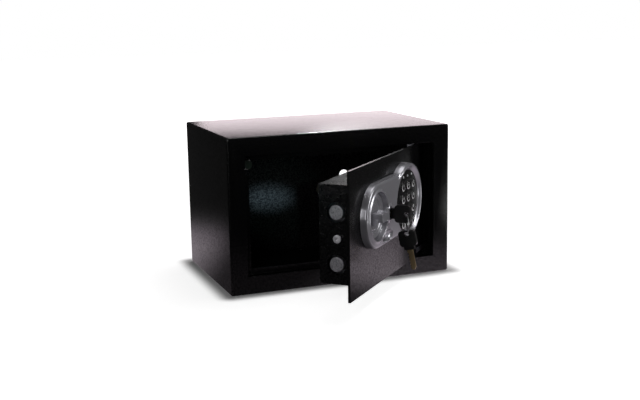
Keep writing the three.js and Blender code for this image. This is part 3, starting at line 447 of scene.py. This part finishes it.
def on_door(across, up, out):
    """Places measured along, up and out of the door's face from the knob's middle, as frame coordinates."""
    across, up, out = np.broadcast_arrays(across, up, out)
    return (
        np.array(knob_place)
        + across[..., None] * np.array(along)
        + up[..., None] * np.array((0.0, 0.0, 1.0))
        + out[..., None] * np.array(out_of_door)
    )


def door_span(node):
    """A node's lowest and highest places along, up and out of the door, from its mesh."""
    mesh = nodes[node].data
    corners = np.empty(len(mesh.vertices) * 3)
    mesh.vertices.foreach_get("co", corners)
    rel = corners.reshape(-1, 3) - np.array(knob_place)
    parts = np.stack([rel @ np.array(along), rel[:, 2], rel @ np.array(out_of_door)], axis=1)
    return parts.min(axis=0), parts.max(axis=0)


def turned(profile, across=0.0, up=0.0, steps=128):
    """A profile of (radius, out) pairs carried round a line square to the door."""
    radius, out = np.array(profile).T
    angle = circle_angles(steps)[:, None]
    return on_door(across + radius * np.cos(angle), up + radius * np.sin(angle), out + 0 * angle)


def make_silver_paint(name, colour, roughness, flake=0.35 * mm, depth=0.006 * mm):
    """Silver paint on ABS: aluminium flakes in a satin lacquer, which glow at the edges."""
    material, shader = new_material(name, Base_Color=linear(colour), Metallic=0.6, Roughness=roughness)
    bump_from(material, shader, noise(material, object_place(material), flake, Detail=1.0), depth)
    return material


silver_abs = make_silver_paint("silver_painted_abs", "#aeadb3", roughness=0.24)
panel_low, panel_high = door_span("control_panel")
face_low, face_high = door_span("keypad_face")
face_play = 0.3 * mm
keypad_across = (face_low[0] + face_high[0]) / 2
lock_across = (lock_place - knob_place).dot(along)
lock_up = lock_place.z - knob_place.z
bridge_radius = -panel_low[0]
head_radius = (panel_high[1] - panel_low[1]) / 2
bore_radius = (face_high[0] - face_low[0]) / 2 + face_play
panel_back = panel_low[2]
panel_face = 8.5 * mm
panel_crest = panel_high[2]
panel_draft = 0.7 * mm
panel_rounding = 2.8 * mm
fillet = 7 * mm
head_cover = 5 * mm
bore_wall = 0.9 * mm
end_steps = 65
bend_steps = 13
dive_steps = 9
arc_steps = 49
well_steps = 128


def bridge_outline():
    """The bridge from the front, anticlockwise: its round end, a fillet to the head, an arc under the head
    and the other fillet, with a weight that is 1 on the free edge and 0 under the head."""
    fillet_up = bridge_radius + fillet
    fillet_across = -math.sqrt((head_radius + fillet) ** 2 - fillet_up**2)
    touch = math.atan2(fillet_up, fillet_across)
    end = np.linspace(math.pi / 2, 3 * math.pi / 2, end_steps)
    bend_from = math.pi / 2
    bend_to = math.atan2(fillet_up, -fillet_across)
    bend = bend_from + (bend_to - bend_from) * np.linspace(0.0, 1.0, bend_steps)
    low_across = keypad_across + fillet_across + fillet * np.cos(bend)
    low_up = -fillet_up + fillet * np.sin(bend)
    back = bore_radius + bore_wall
    dive = np.linspace(head_radius, back, dive_steps)[1:-1]
    fading = (dive > head_radius - head_cover) / 2
    arc = np.linspace(2 * math.pi - touch, touch, arc_steps)
    parts = [
        (bridge_radius * np.cos(end), bridge_radius * np.sin(end), np.ones_like(end)),
        (low_across, low_up, np.ones_like(bend)),
        (keypad_across + dive * np.cos(-touch), dive * np.sin(-touch), fading),
        (keypad_across + back * np.cos(arc), back * np.sin(arc), np.zeros_like(arc)),
        (keypad_across + dive[::-1] * np.cos(touch), dive[::-1] * np.sin(touch), fading[::-1]),
        (low_across[::-1], -low_up[::-1], np.ones_like(bend)),
    ]
    return [np.concatenate(column) for column in zip(*parts)]


def inward(across, up):
    """Unit normals pointing into a closed anticlockwise outline."""
    d_across = np.roll(across, -1) - np.roll(across, 1)
    d_up = np.roll(up, -1) - np.roll(up, 1)
    length = np.hypot(d_across, d_up)
    return -d_up / length, d_across / length


def rounded_wall(base, top, draft, rounding, steps=7):
    """Inset and height up a moulded wall that leans in and then rounds over, as (inset, out) pairs."""
    turn = np.linspace(0.0, np.pi / 2, steps)
    return [(0.0, base)] + [
        (draft + rounding * (1 - math.cos(a)), top - rounding * (1 - math.sin(a))) for a in turn
    ]


well_radius = 29.5 * mm
well_floor = 1.5 * mm
well_wall = ((1.0 * mm, 6.2 * mm), (1.5 * mm, 2.5 * mm), (2.2 * mm, well_floor))
shaft_hole = 4.3 * mm
ring_foot = 33.2 * mm
ring_crest = 9.7 * mm
crest_margin = 0.2 * mm
crest_radius = well_radius + crest_margin
lip_width = 0.9 * mm
lip_drop = 1.4 * mm
lip_from = 0.2
ring_steps = 9
lip_steps = 6


def ring_profile():
    """The well from its ring's foot up half a cosine wave to the crest, then down the wall, given as insets
    and heights, to the floor and the shaft's hole."""
    foot = [
        (
            ring_foot + (crest_radius - ring_foot) * share,
            panel_face + (ring_crest - panel_face) * (0.5 - 0.5 * math.cos(math.pi * share)),
        )
        for share in np.linspace(0.0, 1.0, ring_steps)
    ]
    lip = [
        (crest_radius - lip_width * math.sin(a), ring_crest - lip_drop * (1 - math.cos(a)))
        for a in np.linspace(lip_from, np.pi / 2, lip_steps)
    ]
    wall = [(well_radius - inset, out) for inset, out in well_wall]
    return foot + lip + wall + [(shaft_hole, well_floor), (shaft_hole, panel_back)]


hollow_across = 29.5 * mm
hollow_rise = 9.6 * mm
hollow_up = -bridge_radius + hollow_rise
hollow_half = (18.0 * mm, 7.8 * mm)
hollow_shift = 1.5 * mm
hollow_depth = 4.2 * mm
bowl_power = 4
bowl_root = 0.8
ring_clearance = 0.4 * mm


def hollow_bowl(steps=96, rings=12):
    """A finger hollow: an ellipse kept clear of the well's ring, its depth falling as (1 - share^4)^0.8."""
    angle = circle_angles(steps)[:, None]
    rim_across = hollow_across + hollow_half[0] * np.cos(angle)
    rim_up = hollow_up + hollow_half[1] * np.sin(angle)
    clear = np.maximum(1.0, (ring_foot + ring_clearance) / np.hypot(rim_across, rim_up))
    middle = (hollow_across + hollow_shift, hollow_up - hollow_shift)
    share = np.linspace(1.0, 0.0, rings)[None, :]
    across = middle[0] + (rim_across * clear - middle[0]) * share
    up = middle[1] + (rim_up * clear - middle[1]) * share
    return across, up, panel_face - hollow_depth * (1 - share**bowl_power) ** bowl_root + 0 * angle


def front_facing(flat, triangles):
    """Triangles of a flat face, each turned anticlockwise as seen from the front."""
    faces = []
    for a, b, c in triangles:
        to_b, to_c = flat[b] - flat[a], flat[c] - flat[a]
        faces.append([a, b, c] if to_b[0] * to_c[1] > to_c[0] * to_b[1] else [a, c, b])
    return faces


def flat_face(loops):
    """A flat face between an outline and its holes, as points and front-facing triangles."""
    flat = np.concatenate(loops)
    corners = [[Vector((across, up, 0.0)) for across, up in loop] for loop in loops]
    return flat, front_facing(flat, tessellate_polygon(corners))


def bridge_shape():
    """The bridge: its wall carried round its outline, and a flat face with well and hollow let in."""
    across, up, weight = bridge_outline()
    into_across, into_up = inward(across, up)
    shape = Shape()
    profile = np.array(rounded_wall(panel_back, panel_face, panel_draft, panel_rounding))
    inset = profile[:, 0][None, :] * weight[:, None]
    wall_across = across[:, None] + into_across[:, None] * inset
    wall_up = up[:, None] + into_up[:, None] * inset
    shape.grid(on_door(wall_across, wall_up, profile[:, 1][None, :] + 0 * inset), wrap_rows=True)
    clockwise = -circle_angles(well_steps)
    circle = np.stack([np.cos(clockwise), np.sin(clockwise)], axis=1)
    bowl = hollow_bowl()
    rim = np.stack([wall_across[:, -1], wall_up[:, -1]], axis=1)
    hollow = np.stack([bowl[0][::-1, 0], bowl[1][::-1, 0]], axis=1)
    flat, triangles = flat_face([rim, ring_foot * circle, hollow])
    shape.cap(on_door(flat[:, 0], flat[:, 1], panel_face), triangles)
    shape.grid(on_door(*bowl), wrap_rows=True)
    shape.grid(turned(ring_profile(), steps=well_steps), wrap_rows=True)
    back, triangles = flat_face([np.stack([across, up], axis=1), shaft_hole * circle])
    return shape.cap(on_door(back[:, 0], back[:, 1], panel_back), [face[::-1] for face in triangles])


head_foot = ((0.0, panel_back), (0.3 * mm, 4 * mm))
head_wall = ((0.6 * mm, 7.6 * mm), (1.1 * mm, 9.9 * mm), (2.1 * mm, 11.1 * mm))
head_crest = ((6.3 * mm, 0.02 * mm), (5.3 * mm, 0.1 * mm), (4.4 * mm, 0.7 * mm))
head_slope = ((3.0 * mm, 9.2 * mm),)
head_lip = ((1.3 * mm, 8.2 * mm), (0.4 * mm, 7.7 * mm))
bore_edge = ((0.0, 7.0 * mm), (0.0, 5.7 * mm), (-1.5 * mm, 5.7 * mm), (-1.5 * mm, panel_back))
level_sink = 0.5 * mm
lip_sinks = (0.15 * mm, 0.3 * mm)
fade_from = math.radians(38)
fade_span = math.radians(22)


def head_shape(steps=160):
    """The head: a ring whose outer rim rises to a crest, and sinks to the bridge's level where they meet."""
    wall = [(head_radius - inset, out) for inset, out in head_foot + head_wall]
    crest = [(bore_radius + past, panel_crest - drop) for past, drop in head_crest]
    inner = [(bore_radius + past, out) for past, out in head_slope + head_lip + bore_edge]
    radius, raised = np.array(wall + crest + inner).T
    level = np.minimum(raised, panel_face - level_sink)
    lip_at = len(wall) + len(crest) + len(head_slope)
    level[lip_at : lip_at + len(lip_sinks)] = panel_face - np.array(lip_sinks)
    angle = circle_angles(steps)[:, None]
    from_bridge = np.abs(np.abs(np.where(angle > np.pi, angle - 2 * np.pi, angle)) - np.pi)
    fade = np.clip((from_bridge - fade_from) / fade_span, 0, 1)
    height = level + (raised - level) * (fade * fade * (3 - 2 * fade))
    return on_door(keypad_across + radius * np.cos(angle), radius * np.sin(angle), height)


barrel_low, barrel_high = door_span("lock_barrel")
barrel_play = 0.3 * mm
barrel_room = (barrel_high[1] - barrel_low[1]) / 2 + barrel_play
boss_foot = 14.2 * mm
boss_wall = 0.9 * mm
boss_top = barrel_room + boss_wall
boss_high = 10.3 * mm
root_sink = 0.8 * mm
cone_sink = 0.5 * mm
cone_rise = 2.1 * mm
boss_lip = 0.1 * mm
boss_bevel = 0.3 * mm
cone_power = 1.5
cone_share = 0.95
cone_steps = 8


def boss_profile():
    """The cone round the lock, which rises as its share^1.5, as (radius, out) pairs."""
    root = [(barrel_room, panel_back), (boss_foot, panel_back), (boss_foot, panel_face - root_sink)]
    cone = [
        (boss_foot - (boss_foot - boss_top) * share, panel_face - cone_sink + cone_rise * share**cone_power)
        for share in np.linspace(0.0, cone_share, cone_steps)
    ]
    top = [(boss_top - boss_lip, boss_high), (barrel_room + boss_bevel, boss_high)]
    return root + cone + top + [(barrel_room, boss_high - boss_bevel)]


panel = bridge_shape()
panel.grid(head_shape(), wrap_rows=True, wrap_columns=True)
panel.grid(turned(boss_profile(), lock_across, lock_up), wrap_rows=True, wrap_columns=True)
make_piece("silver_control_panel", panel, "door", silver_abs, ["control_panel"])


# Knob
# A silver-painted ABS disc deep in the well, shallowly dished, with a tall grip across its
# middle, pressed on the end of its steel shaft.
knob_low, knob_high = door_span("knob")
knob_radius = (knob_high[1] - knob_low[1]) / 2
knob_back = knob_low[2]
knob_bevel = 1.0 * mm
face_inset = 1.2 * mm
dish_inset = 2.4 * mm
rim_high = 4.4 * mm
rim_rounding = ((0.0, 0.9 * mm), (0.3 * mm, 0.25 * mm), (face_inset, 0.0))
dish_low = 2.9 * mm
dish_power = 8
turned_ring_high = 0.3 * mm
rings_from_share = 0.55
ring_pitch_share = 0.18
grip_half = (12.5 * mm, 5.5 * mm)
grip_corner = 2.2 * mm
grip_high = knob_high[2]
tab_middle = (-10.6 * mm, -5.4 * mm)
tab_half = (3.0 * mm, 4.5 * mm)
tab_corner = 0.8 * mm
tab_high = 11.2 * mm
block_rounding = 0.6 * mm


def block_rise(x, z, middle, half, corner):
    """A share that is 1 on a block with rounded corners, 0 off it, and rounds over at the block's edge."""
    past_x = np.clip(np.abs(x - middle[0]) - half[0] + corner, 0, None)
    past_z = np.clip(np.abs(z - middle[1]) - half[1] + corner, 0, None)
    wall = np.clip((corner - np.hypot(past_x, past_z)) / block_rounding, 0, 1)
    return 1 - (1 - wall) ** 3


def knob_face(steps=360, rings=150):
    """A disc on a polar grid: its height is a shallow dish, rising as its reach^8, with two turned rings, a
    tall grip and a pointer tab."""
    angle = circle_angles(steps)[:, None]
    radius = (knob_radius - face_inset) * np.linspace(0.0, 1.0, rings)[None, :]
    x = radius * np.cos(angle)
    z = radius * np.sin(angle)
    reach = radius / (knob_radius - dish_inset)
    waves = np.clip(reach - rings_from_share, 0, 2 * ring_pitch_share) / ring_pitch_share
    dish = dish_low + (rim_high - dish_low) * np.clip(reach, 0, 1) ** dish_power
    dish = dish + turned_ring_high * (1 - np.cos(2 * np.pi * waves))
    grip = block_rise(x, z, (0.0, 0.0), grip_half, grip_corner)
    tab = block_rise(x, z, tab_middle, tab_half, tab_corner)
    height = np.maximum(dish + (grip_high - dish) * grip, dish + (tab_high - dish) * tab)
    return on_door(x, z, height)


knob_side = [(0.0, knob_back), (knob_radius - knob_bevel, knob_back), (knob_radius, knob_back + knob_bevel)]
knob_side += [(knob_radius - inset, rim_high - drop) for inset, drop in rim_rounding]
knob_piece = Shape()
knob_piece.grid(knob_face()[:, ::-1], wrap_rows=True)
knob_piece.grid(turned(knob_side, steps=240), wrap_rows=True)
make_piece("silver_knob", knob_piece, "knob", silver_abs, ["knob"])


# Key lock
# A die-cast barrel behind the panel's cone, its blackened plug all but hidden by the key.
barrel_edge = 0.2 * mm
eased("lock_barrel", "lock_barrel_ring", "door", rolled_steel, barrel_edge)
give(nodes["lock_plug"], make_steel("blackened_plug_steel", ("#1b1b1a", "#292926"), roughness=0.4))


# Keypad
# A black gloss face with twelve domed keys, each printed with a white digit over a crescent of white ink
# that paints a highlight on its lower shoulder, and three lamps in a row above.
# The keys stand on a rubber mat over the circuit board.
gloss_black = make_moulding("gloss_black_abs", "#08080a", roughness=0.2)
key_black = make_moulding("gloss_black_keys", "#060607", roughness=0.16)
lamp_clear = make_moulding("clear_lamp_plastic", "#c9ccd2", roughness=0.15)
# White ink for the printed digits, and for the crescents that paint a highlight on each key.
key_ink_and_highlight = make_moulding("white_key_ink_and_painted_highlight", "#dededf", roughness=0.5)
face_edge = 0.55 * mm
eased("keypad_face", "keypad_gloss_face", "door", gloss_black, face_edge)
give(nodes["keypad_mat"], make_moulding("silicone_mat", "#2a2a2c", roughness=0.8))
give(nodes["circuit_board"], make_moulding("board_lacquer", "#1f5a34", roughness=0.4))
for number in (1, 2, 3):
    give(nodes[f"lamp_{number}"], lamp_clear)

key_signs = {"star": "*", "hash": "#"}
key_names = [str(number) for number in range(1, 10)] + ["star", "0", "hash"]
key_gap = 0.8 * mm
key_sink = 0.2 * mm
key_rise = 0.3 * mm
shoulder = 1.5 * mm
crown = 0.25 * mm
dome_shares = (0.8, 0.6, 0.4, 0.2, 0.0)
digit_height = 5.6 * mm
digit_lift = 1.0 * mm
digit_thickening = digit_height / 45
ink_thickness = 0.12 * mm
highlight_crescent_inset = 1.6 * mm
highlight_crescent_width = 1.3 * mm
highlight_crescent_tip_share = 0.04
highlight_crescent_from = math.radians(150)
highlight_crescent_to = math.radians(345)


def key_top(radius, rim, top, steps=9):
    """A round key's quarter-round shoulder and shallow crown, as (radius, out) pairs."""
    inner = radius - shoulder
    round_over = [
        (radius - shoulder * (1 - math.cos(a)), rim + (top - crown - rim) * math.sin(a))
        for a in np.linspace(0.0, np.pi / 2, steps)[1:]
    ]
    return round_over + [(inner * share, top - crown * share * share) for share in dome_shares]


def sign_mesh(sign):
    """A character from the built-in plain typeface as points and faces, centred on its own middle."""
    letters = bpy.data.curves.new("sign", "FONT")
    letters.body = sign
    letters.size = digit_height
    letters.extrude = ink_thickness / 2
    letters.offset = digit_thickening
    holder = bpy.data.objects.new("sign", letters)
    scene.collection.objects.link(holder)
    bpy.context.view_layer.update()
    mesh = bpy.data.meshes.new_from_object(holder.evaluated_get(bpy.context.evaluated_depsgraph_get()))
    points = np.empty(len(mesh.vertices) * 3)
    mesh.vertices.foreach_get("co", points)
    points = points.reshape(-1, 3)
    points[:, :2] -= (points[:, :2].min(axis=0) + points[:, :2].max(axis=0)) / 2
    faces = [list(face.vertices) for face in mesh.polygons]
    bpy.data.objects.remove(holder)
    bpy.data.curves.remove(letters)
    bpy.data.meshes.remove(mesh)
    return points, faces


def crescent_shape(middle, reach, profile, steps=30):
    """A painted highlight: a strip of ink round the lower left of a key, where its shoulder would catch light.
    Its width goes as the root of a half sine wave; it lies half an ink layer above and below the key's profile."""
    share = np.linspace(0.0, 1.0, steps)
    angle = highlight_crescent_from + (highlight_crescent_to - highlight_crescent_from) * share
    half = highlight_crescent_width / 2 * np.sqrt(np.clip(np.sin(np.pi * share), highlight_crescent_tip_share, 1))
    radius, height = np.array(profile)[::-1].T
    rows = []
    for side, layer in ((-1, -1), (1, -1), (1, 1), (-1, 1)):
        place = reach + side * half
        ink = np.interp(place, radius, height) + layer * ink_thickness / 2
        rows.append(on_door(middle[0] + place * np.cos(angle), middle[1] + place * np.sin(angle), ink))
    points = np.stack(rows, axis=1)
    shape = Shape().grid(points[::-1], wrap_columns=True)
    shape.cap(points[0], [(0, 1, 2, 3)])
    return shape.cap(points[-1], [(3, 2, 1, 0)])


for key in key_names:
    node = "key_button_" + key
    body = "pad_" + key
    low, high = door_span(node)
    middle = (low + high) / 2
    radius = (high[0] - low[0]) / 2 - key_gap
    rim = face_high[2] - key_sink
    top = high[2] + key_rise
    top_profile = key_top(radius, rim, top)
    side = [(0.0, low[2]), (radius, low[2]), (radius, rim)]
    cap = Shape().grid(turned(side + top_profile, middle[0], middle[1], steps=48), wrap_rows=True)
    make_piece("domed_key_" + key, cap, body, key_black, [node])
    points, faces = sign_mesh(key_signs.get(key, key))
    print_up = middle[1] + digit_lift + points[:, 1]
    sign = Shape().cap(on_door(middle[0] + points[:, 0], print_up, top + points[:, 2]), faces)
    make_piece("key_sign_" + key, sign, body, key_ink_and_highlight)
    # The crescent is a painted highlight in white ink on the key's lower left shoulder.
    highlight_crescent = crescent_shape(middle, radius - highlight_crescent_inset, top_profile)
    make_piece("key_highlight_crescent_" + key, highlight_crescent, body, key_ink_and_highlight)


# Keys and their ring
# Two nickel-brass keys with black moulded heads, on a sprung wire ring.
# One stands in the lock and carries the ring, from which the other hangs.
def make_brass(name, colour, roughness, grain=0.6 * mm, depth=0.015 * mm):
    """Nickel-brass with fine polishing marks."""
    material, shader = new_material(name, Base_Color=linear(colour), Metallic=1.0, Roughness=roughness)
    bump_from(material, shader, noise(material, object_place(material), grain, Detail=3.0), depth)
    return material


head_edge = 0.7 * mm
blade_edge = 0.15 * mm
nickel_brass = make_brass("nickel_brass", "#c4ae84", roughness=0.28)
key_head_black = make_moulding("black_key_heads", "#030303", roughness=0.34)
for key in ("key_1", "key_2"):
    number = key[-1]
    eased(f"{key}_head", f"moulded_key_head_{number}", key, key_head_black, head_edge)
    eased(f"{key}_blade", f"cut_key_blade_{number}", key, nickel_brass, blade_edge)
wire_look = {"Base_Color": linear("#f0f0f2"), "Metallic": 1.0, "Roughness": 0.28}
bright_wire = new_material("bright_plated_wire", **wire_look)[0]
eased("key_ring", "wire_key_ring", "ring", bright_wire, 0)


# Blank badge
# A thin satin aluminium plate stuck low on the door, left bare.
badge_edge = 0.15 * mm
badge_metal = make_steel("satin_badge_metal", ("#6f6e76", "#85848c"), roughness=0.35)
eased("badge_plate", "blank_badge", "door", badge_metal, badge_edge)


# Batteries and spring inside the lock box
# Four sleeved cells and the plunger's steel spring, seen only with the cover or box off.
sleeve = make_moulding("cell_sleeve", "#3b4a66", roughness=0.35)
for number in (1, 2, 3, 4):
    give(nodes[f"battery_cell_{number}"], sleeve)
give(nodes["plunger_spring"], zinc_plate)


# Studio floor, surroundings and lamps
# The camera sees a white table that runs into a white backdrop, with a soft contact shadow, partly painted.
# In reflections only a pool of light round the safe is bright, and the room is dark.
floor_half = 6.0
floor_corners = [(-1, -1), (1, -1), (1, 1), (-1, 1)]
floor_mesh = bpy.data.meshes.new("studio_floor")
floor_mesh.from_pydata([(x * floor_half, y * floor_half, 0) for x, y in floor_corners], [], [(0, 1, 2, 3)])
floor = bpy.data.objects.new("studio_floor", floor_mesh)
scene.collection.objects.link(floor)

body_low, body_high = arrays(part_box("body_shell"))
footprint = (body_high - body_low) / 2 * (1, 1, 0)
pool_middle = (0.0, 0.03, 0.0)
pool_reach = 0.5
pool_shares = (0.0, 0.2, 0.42, 0.55)
pool_colours = ("#2c2c2c", "#595759", "#bdb1bb", "#d0c4cd")
front_edge = (-0.2, 0.0)
front_share = 0.12
far_edge = (0.5, 1.1)
near_share = 0.8
painted_shadow_reach = 0.028
painted_shadow_share = 0.02


def vector_math(material, operation, vector, other=(0.0, 0.0, 0.0)):
    """One vector operation, and the number or vector that comes out of it."""
    node = add_node(material, "ShaderNodeVectorMath", {0: vector}, operation=operation)
    node.inputs[1].default_value = other
    return node.outputs["Value" if operation in ("DOT_PRODUCT", "LENGTH") else "Vector"]


def show_to_camera(owner, reflected, seen, output_name):
    """Gives the surface one shader for the camera's own rays and another for all the rest."""
    ray = add_node(owner, "ShaderNodeLightPath")
    links = {"Fac": ray.outputs["Is Camera Ray"], 1: reflected, 2: seen}
    choose = add_node(owner, "ShaderNodeMixShader", links)
    join(owner, choose.outputs["Shader"], owner.node_tree.nodes[output_name], "Surface")


def make_table():
    """White to the camera, with a painted contact shadow that darkens it where the safe stands; to other rays, a
    pinkish pool of light that fades out half a metre away and in front."""
    material = bpy.data.materials.new("white_table")
    material.use_nodes = True
    material.node_tree.nodes.remove(material.node_tree.nodes["Principled BSDF"])
    place = object_place(material)
    fit = {"Location": tuple(-c / pool_reach for c in pool_middle), "Scale": (1 / pool_reach,) * 3}
    fitted = add_node(material, "ShaderNodeMapping", {"Vector": place}, **fit).outputs["Vector"]
    pool = add_node(material, "ShaderNodeTexGradient", {"Vector": fitted}, gradient_type="SPHERICAL")
    glow = colour_ramp(material, pool.outputs["Fac"], pool_shares, pool_colours)
    slant = vector_math(material, "DOT_PRODUCT", place, (1.0, 1.0, 0.0))
    strength = map_range(material, slant, front_edge, (front_share, 1), "SMOOTHSTEP")
    reflected = add_node(material, "ShaderNodeEmission", {"Color": glow, "Strength": strength})
    paint = add_node(material, "ShaderNodeBsdfDiffuse", Color=linear("#f4f4f4"))
    away = vector_math(material, "LENGTH", place)
    lift = map_range(material, away, far_edge, (near_share, 1), "SMOOTHSTEP")
    across = vector_math(material, "ABSOLUTE", place)
    outside = vector_math(material, "MAXIMUM", vector_math(material, "SUBTRACT", across, tuple(footprint)))
    gap = vector_math(material, "LENGTH", outside)
    # Painted contact shadow: the camera's glow fades towards the safe's footprint.
    painted_contact_shadow = map_range(material, gap, (0, painted_shadow_reach), (painted_shadow_share, 1), "SMOOTHERSTEP")
    lit = add_node(material, "ShaderNodeMath", {0: lift, 1: painted_contact_shadow}, operation="MULTIPLY")
    light = add_node(material, "ShaderNodeEmission", {"Strength": lit.outputs["Value"]})
    seen_parts = {0: paint.outputs["BSDF"], 1: light.outputs["Emission"]}
    seen = add_node(material, "ShaderNodeAddShader", seen_parts)
    show_to_camera(material, reflected.outputs["Emission"], seen.outputs["Shader"], "Material Output")
    return material


give(floor, make_table())

white = (1.0, 1.0, 1.0, 1.0)
room_level = 0.03
world = bpy.data.worlds.new("studio_surroundings")
scene.world = world
world.use_nodes = True
dark_room = world.node_tree.nodes["Background"]
dark_room.inputs["Color"].default_value = white
dark_room.inputs["Strength"].default_value = room_level
backdrop = add_node(world, "ShaderNodeBackground", Color=white)
show_to_camera(world, dark_room.outputs["Background"], backdrop.outputs["Background"], "World Output")


def add_lamp(name, kind, place, aim, power, colour, **settings):
    """A lamp at a place, turned to face a point."""
    data = bpy.data.lights.new(name, kind)
    data.energy = power
    data.color = linear(colour)[:3]
    for setting, value in settings.items():
        setattr(data, setting, value)
    lamp = bpy.data.objects.new(name, data)
    lamp.location = place
    lamp.rotation_euler = (Vector(aim) - Vector(place)).to_track_quat("-Z", "Y").to_euler()
    scene.collection.objects.link(lamp)
    return lamp


def add_softbox(name, place, aim, power, size, colour="#ffffff"):
    """A rectangular lamp of a width and a height."""
    sides = {"shape": "RECTANGLE", "size": size[0], "size_y": size[1]}
    return add_lamp(name, "AREA", place, aim, power, colour, **sides)


def add_spot(name, place, aim, power, angle, colour="#ffffff", softness=0.02):
    """A spot lamp of an angle in degrees, with a soft edge."""
    cone = {"spot_size": math.radians(angle), "spot_blend": 1.0, "shadow_soft_size": softness}
    return add_lamp(name, "SPOT", place, aim, power, colour, **cone)


safe_middle = (0.0, 0.0, 0.1)
panel_middle = sum(arrays(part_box("control_panel"))) / 2
tray_low, tray_high = arrays(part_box("lock_box"))
tray_top = (*(tray_low[:2] + tray_high[:2]) / 2, tray_high[2])
behind = (1.2, 1.9, 0.5)
overhead = (0.5, 0.3, 1.9)
far_left = (-1.7, -0.95, 0.45)
near_left = (-0.85, -1.45, 0.55)
far_right = (1.9, -0.75, 0.65)
on_floor = (0.8, -0.38, 0.004)
above_card = (0.8, -0.38, 1.0)
add_softbox("back_softbox", behind, safe_middle, power=10.3, size=(1.8, 1.0), colour="#fff0f5")
add_softbox("overhead_softbox", overhead, safe_middle, power=8.5, size=(1.2, 1.0))
add_softbox("left_softbox", far_left, safe_middle, power=4, size=(0.4, 0.5))
floor_card = add_softbox("floor_card", on_floor, above_card, power=2.0, size=(0.8, 0.25))
floor_card.visible_camera = False
add_softbox("right_softbox", far_right, safe_middle, power=14, size=(0.5, 1.1))
add_softbox("key_softbox", near_left, panel_middle, power=4, size=(0.25, 0.8))

front_left = (-0.39, -1.3, 0.37)
front_right = (0.9, -1.7, 0.4)
above_panel = (0.16, -0.55, 1.65)
above_knob = (0.1, -0.6, 1.6)
above_behind = (0.6, 1.3, 1.25)
patch_middle = (-0.035, 0.097, 0.082)
glow_middle = (-0.02, 0.097, 0.085)
patch_stretch = (2.1, 1.0, 1.0)
patch_look = {"colour": "#c4e4f2", "softness": 0.01}
glow_look = {"colour": "#c4f2e8", "softness": 0.01}
cavity_spot = add_spot("cavity_spot", front_left, patch_middle, power=330, angle=1.7, **patch_look)
cavity_spot.scale = patch_stretch
add_spot("cavity_glow", front_left, glow_middle, power=14, angle=6.5, **glow_look)
add_spot("panel_spot_right", front_right, panel_middle, power=8, angle=6.0)
add_spot("panel_spot_top", above_panel, panel_middle, power=14, angle=5.0)
add_spot("knob_spot_top", above_knob, knob_place, power=18, angle=2.6)
add_spot("lock_box_spot", above_behind, tray_top, power=170, angle=5.5)

scene.view_settings.view_transform = "Standard"
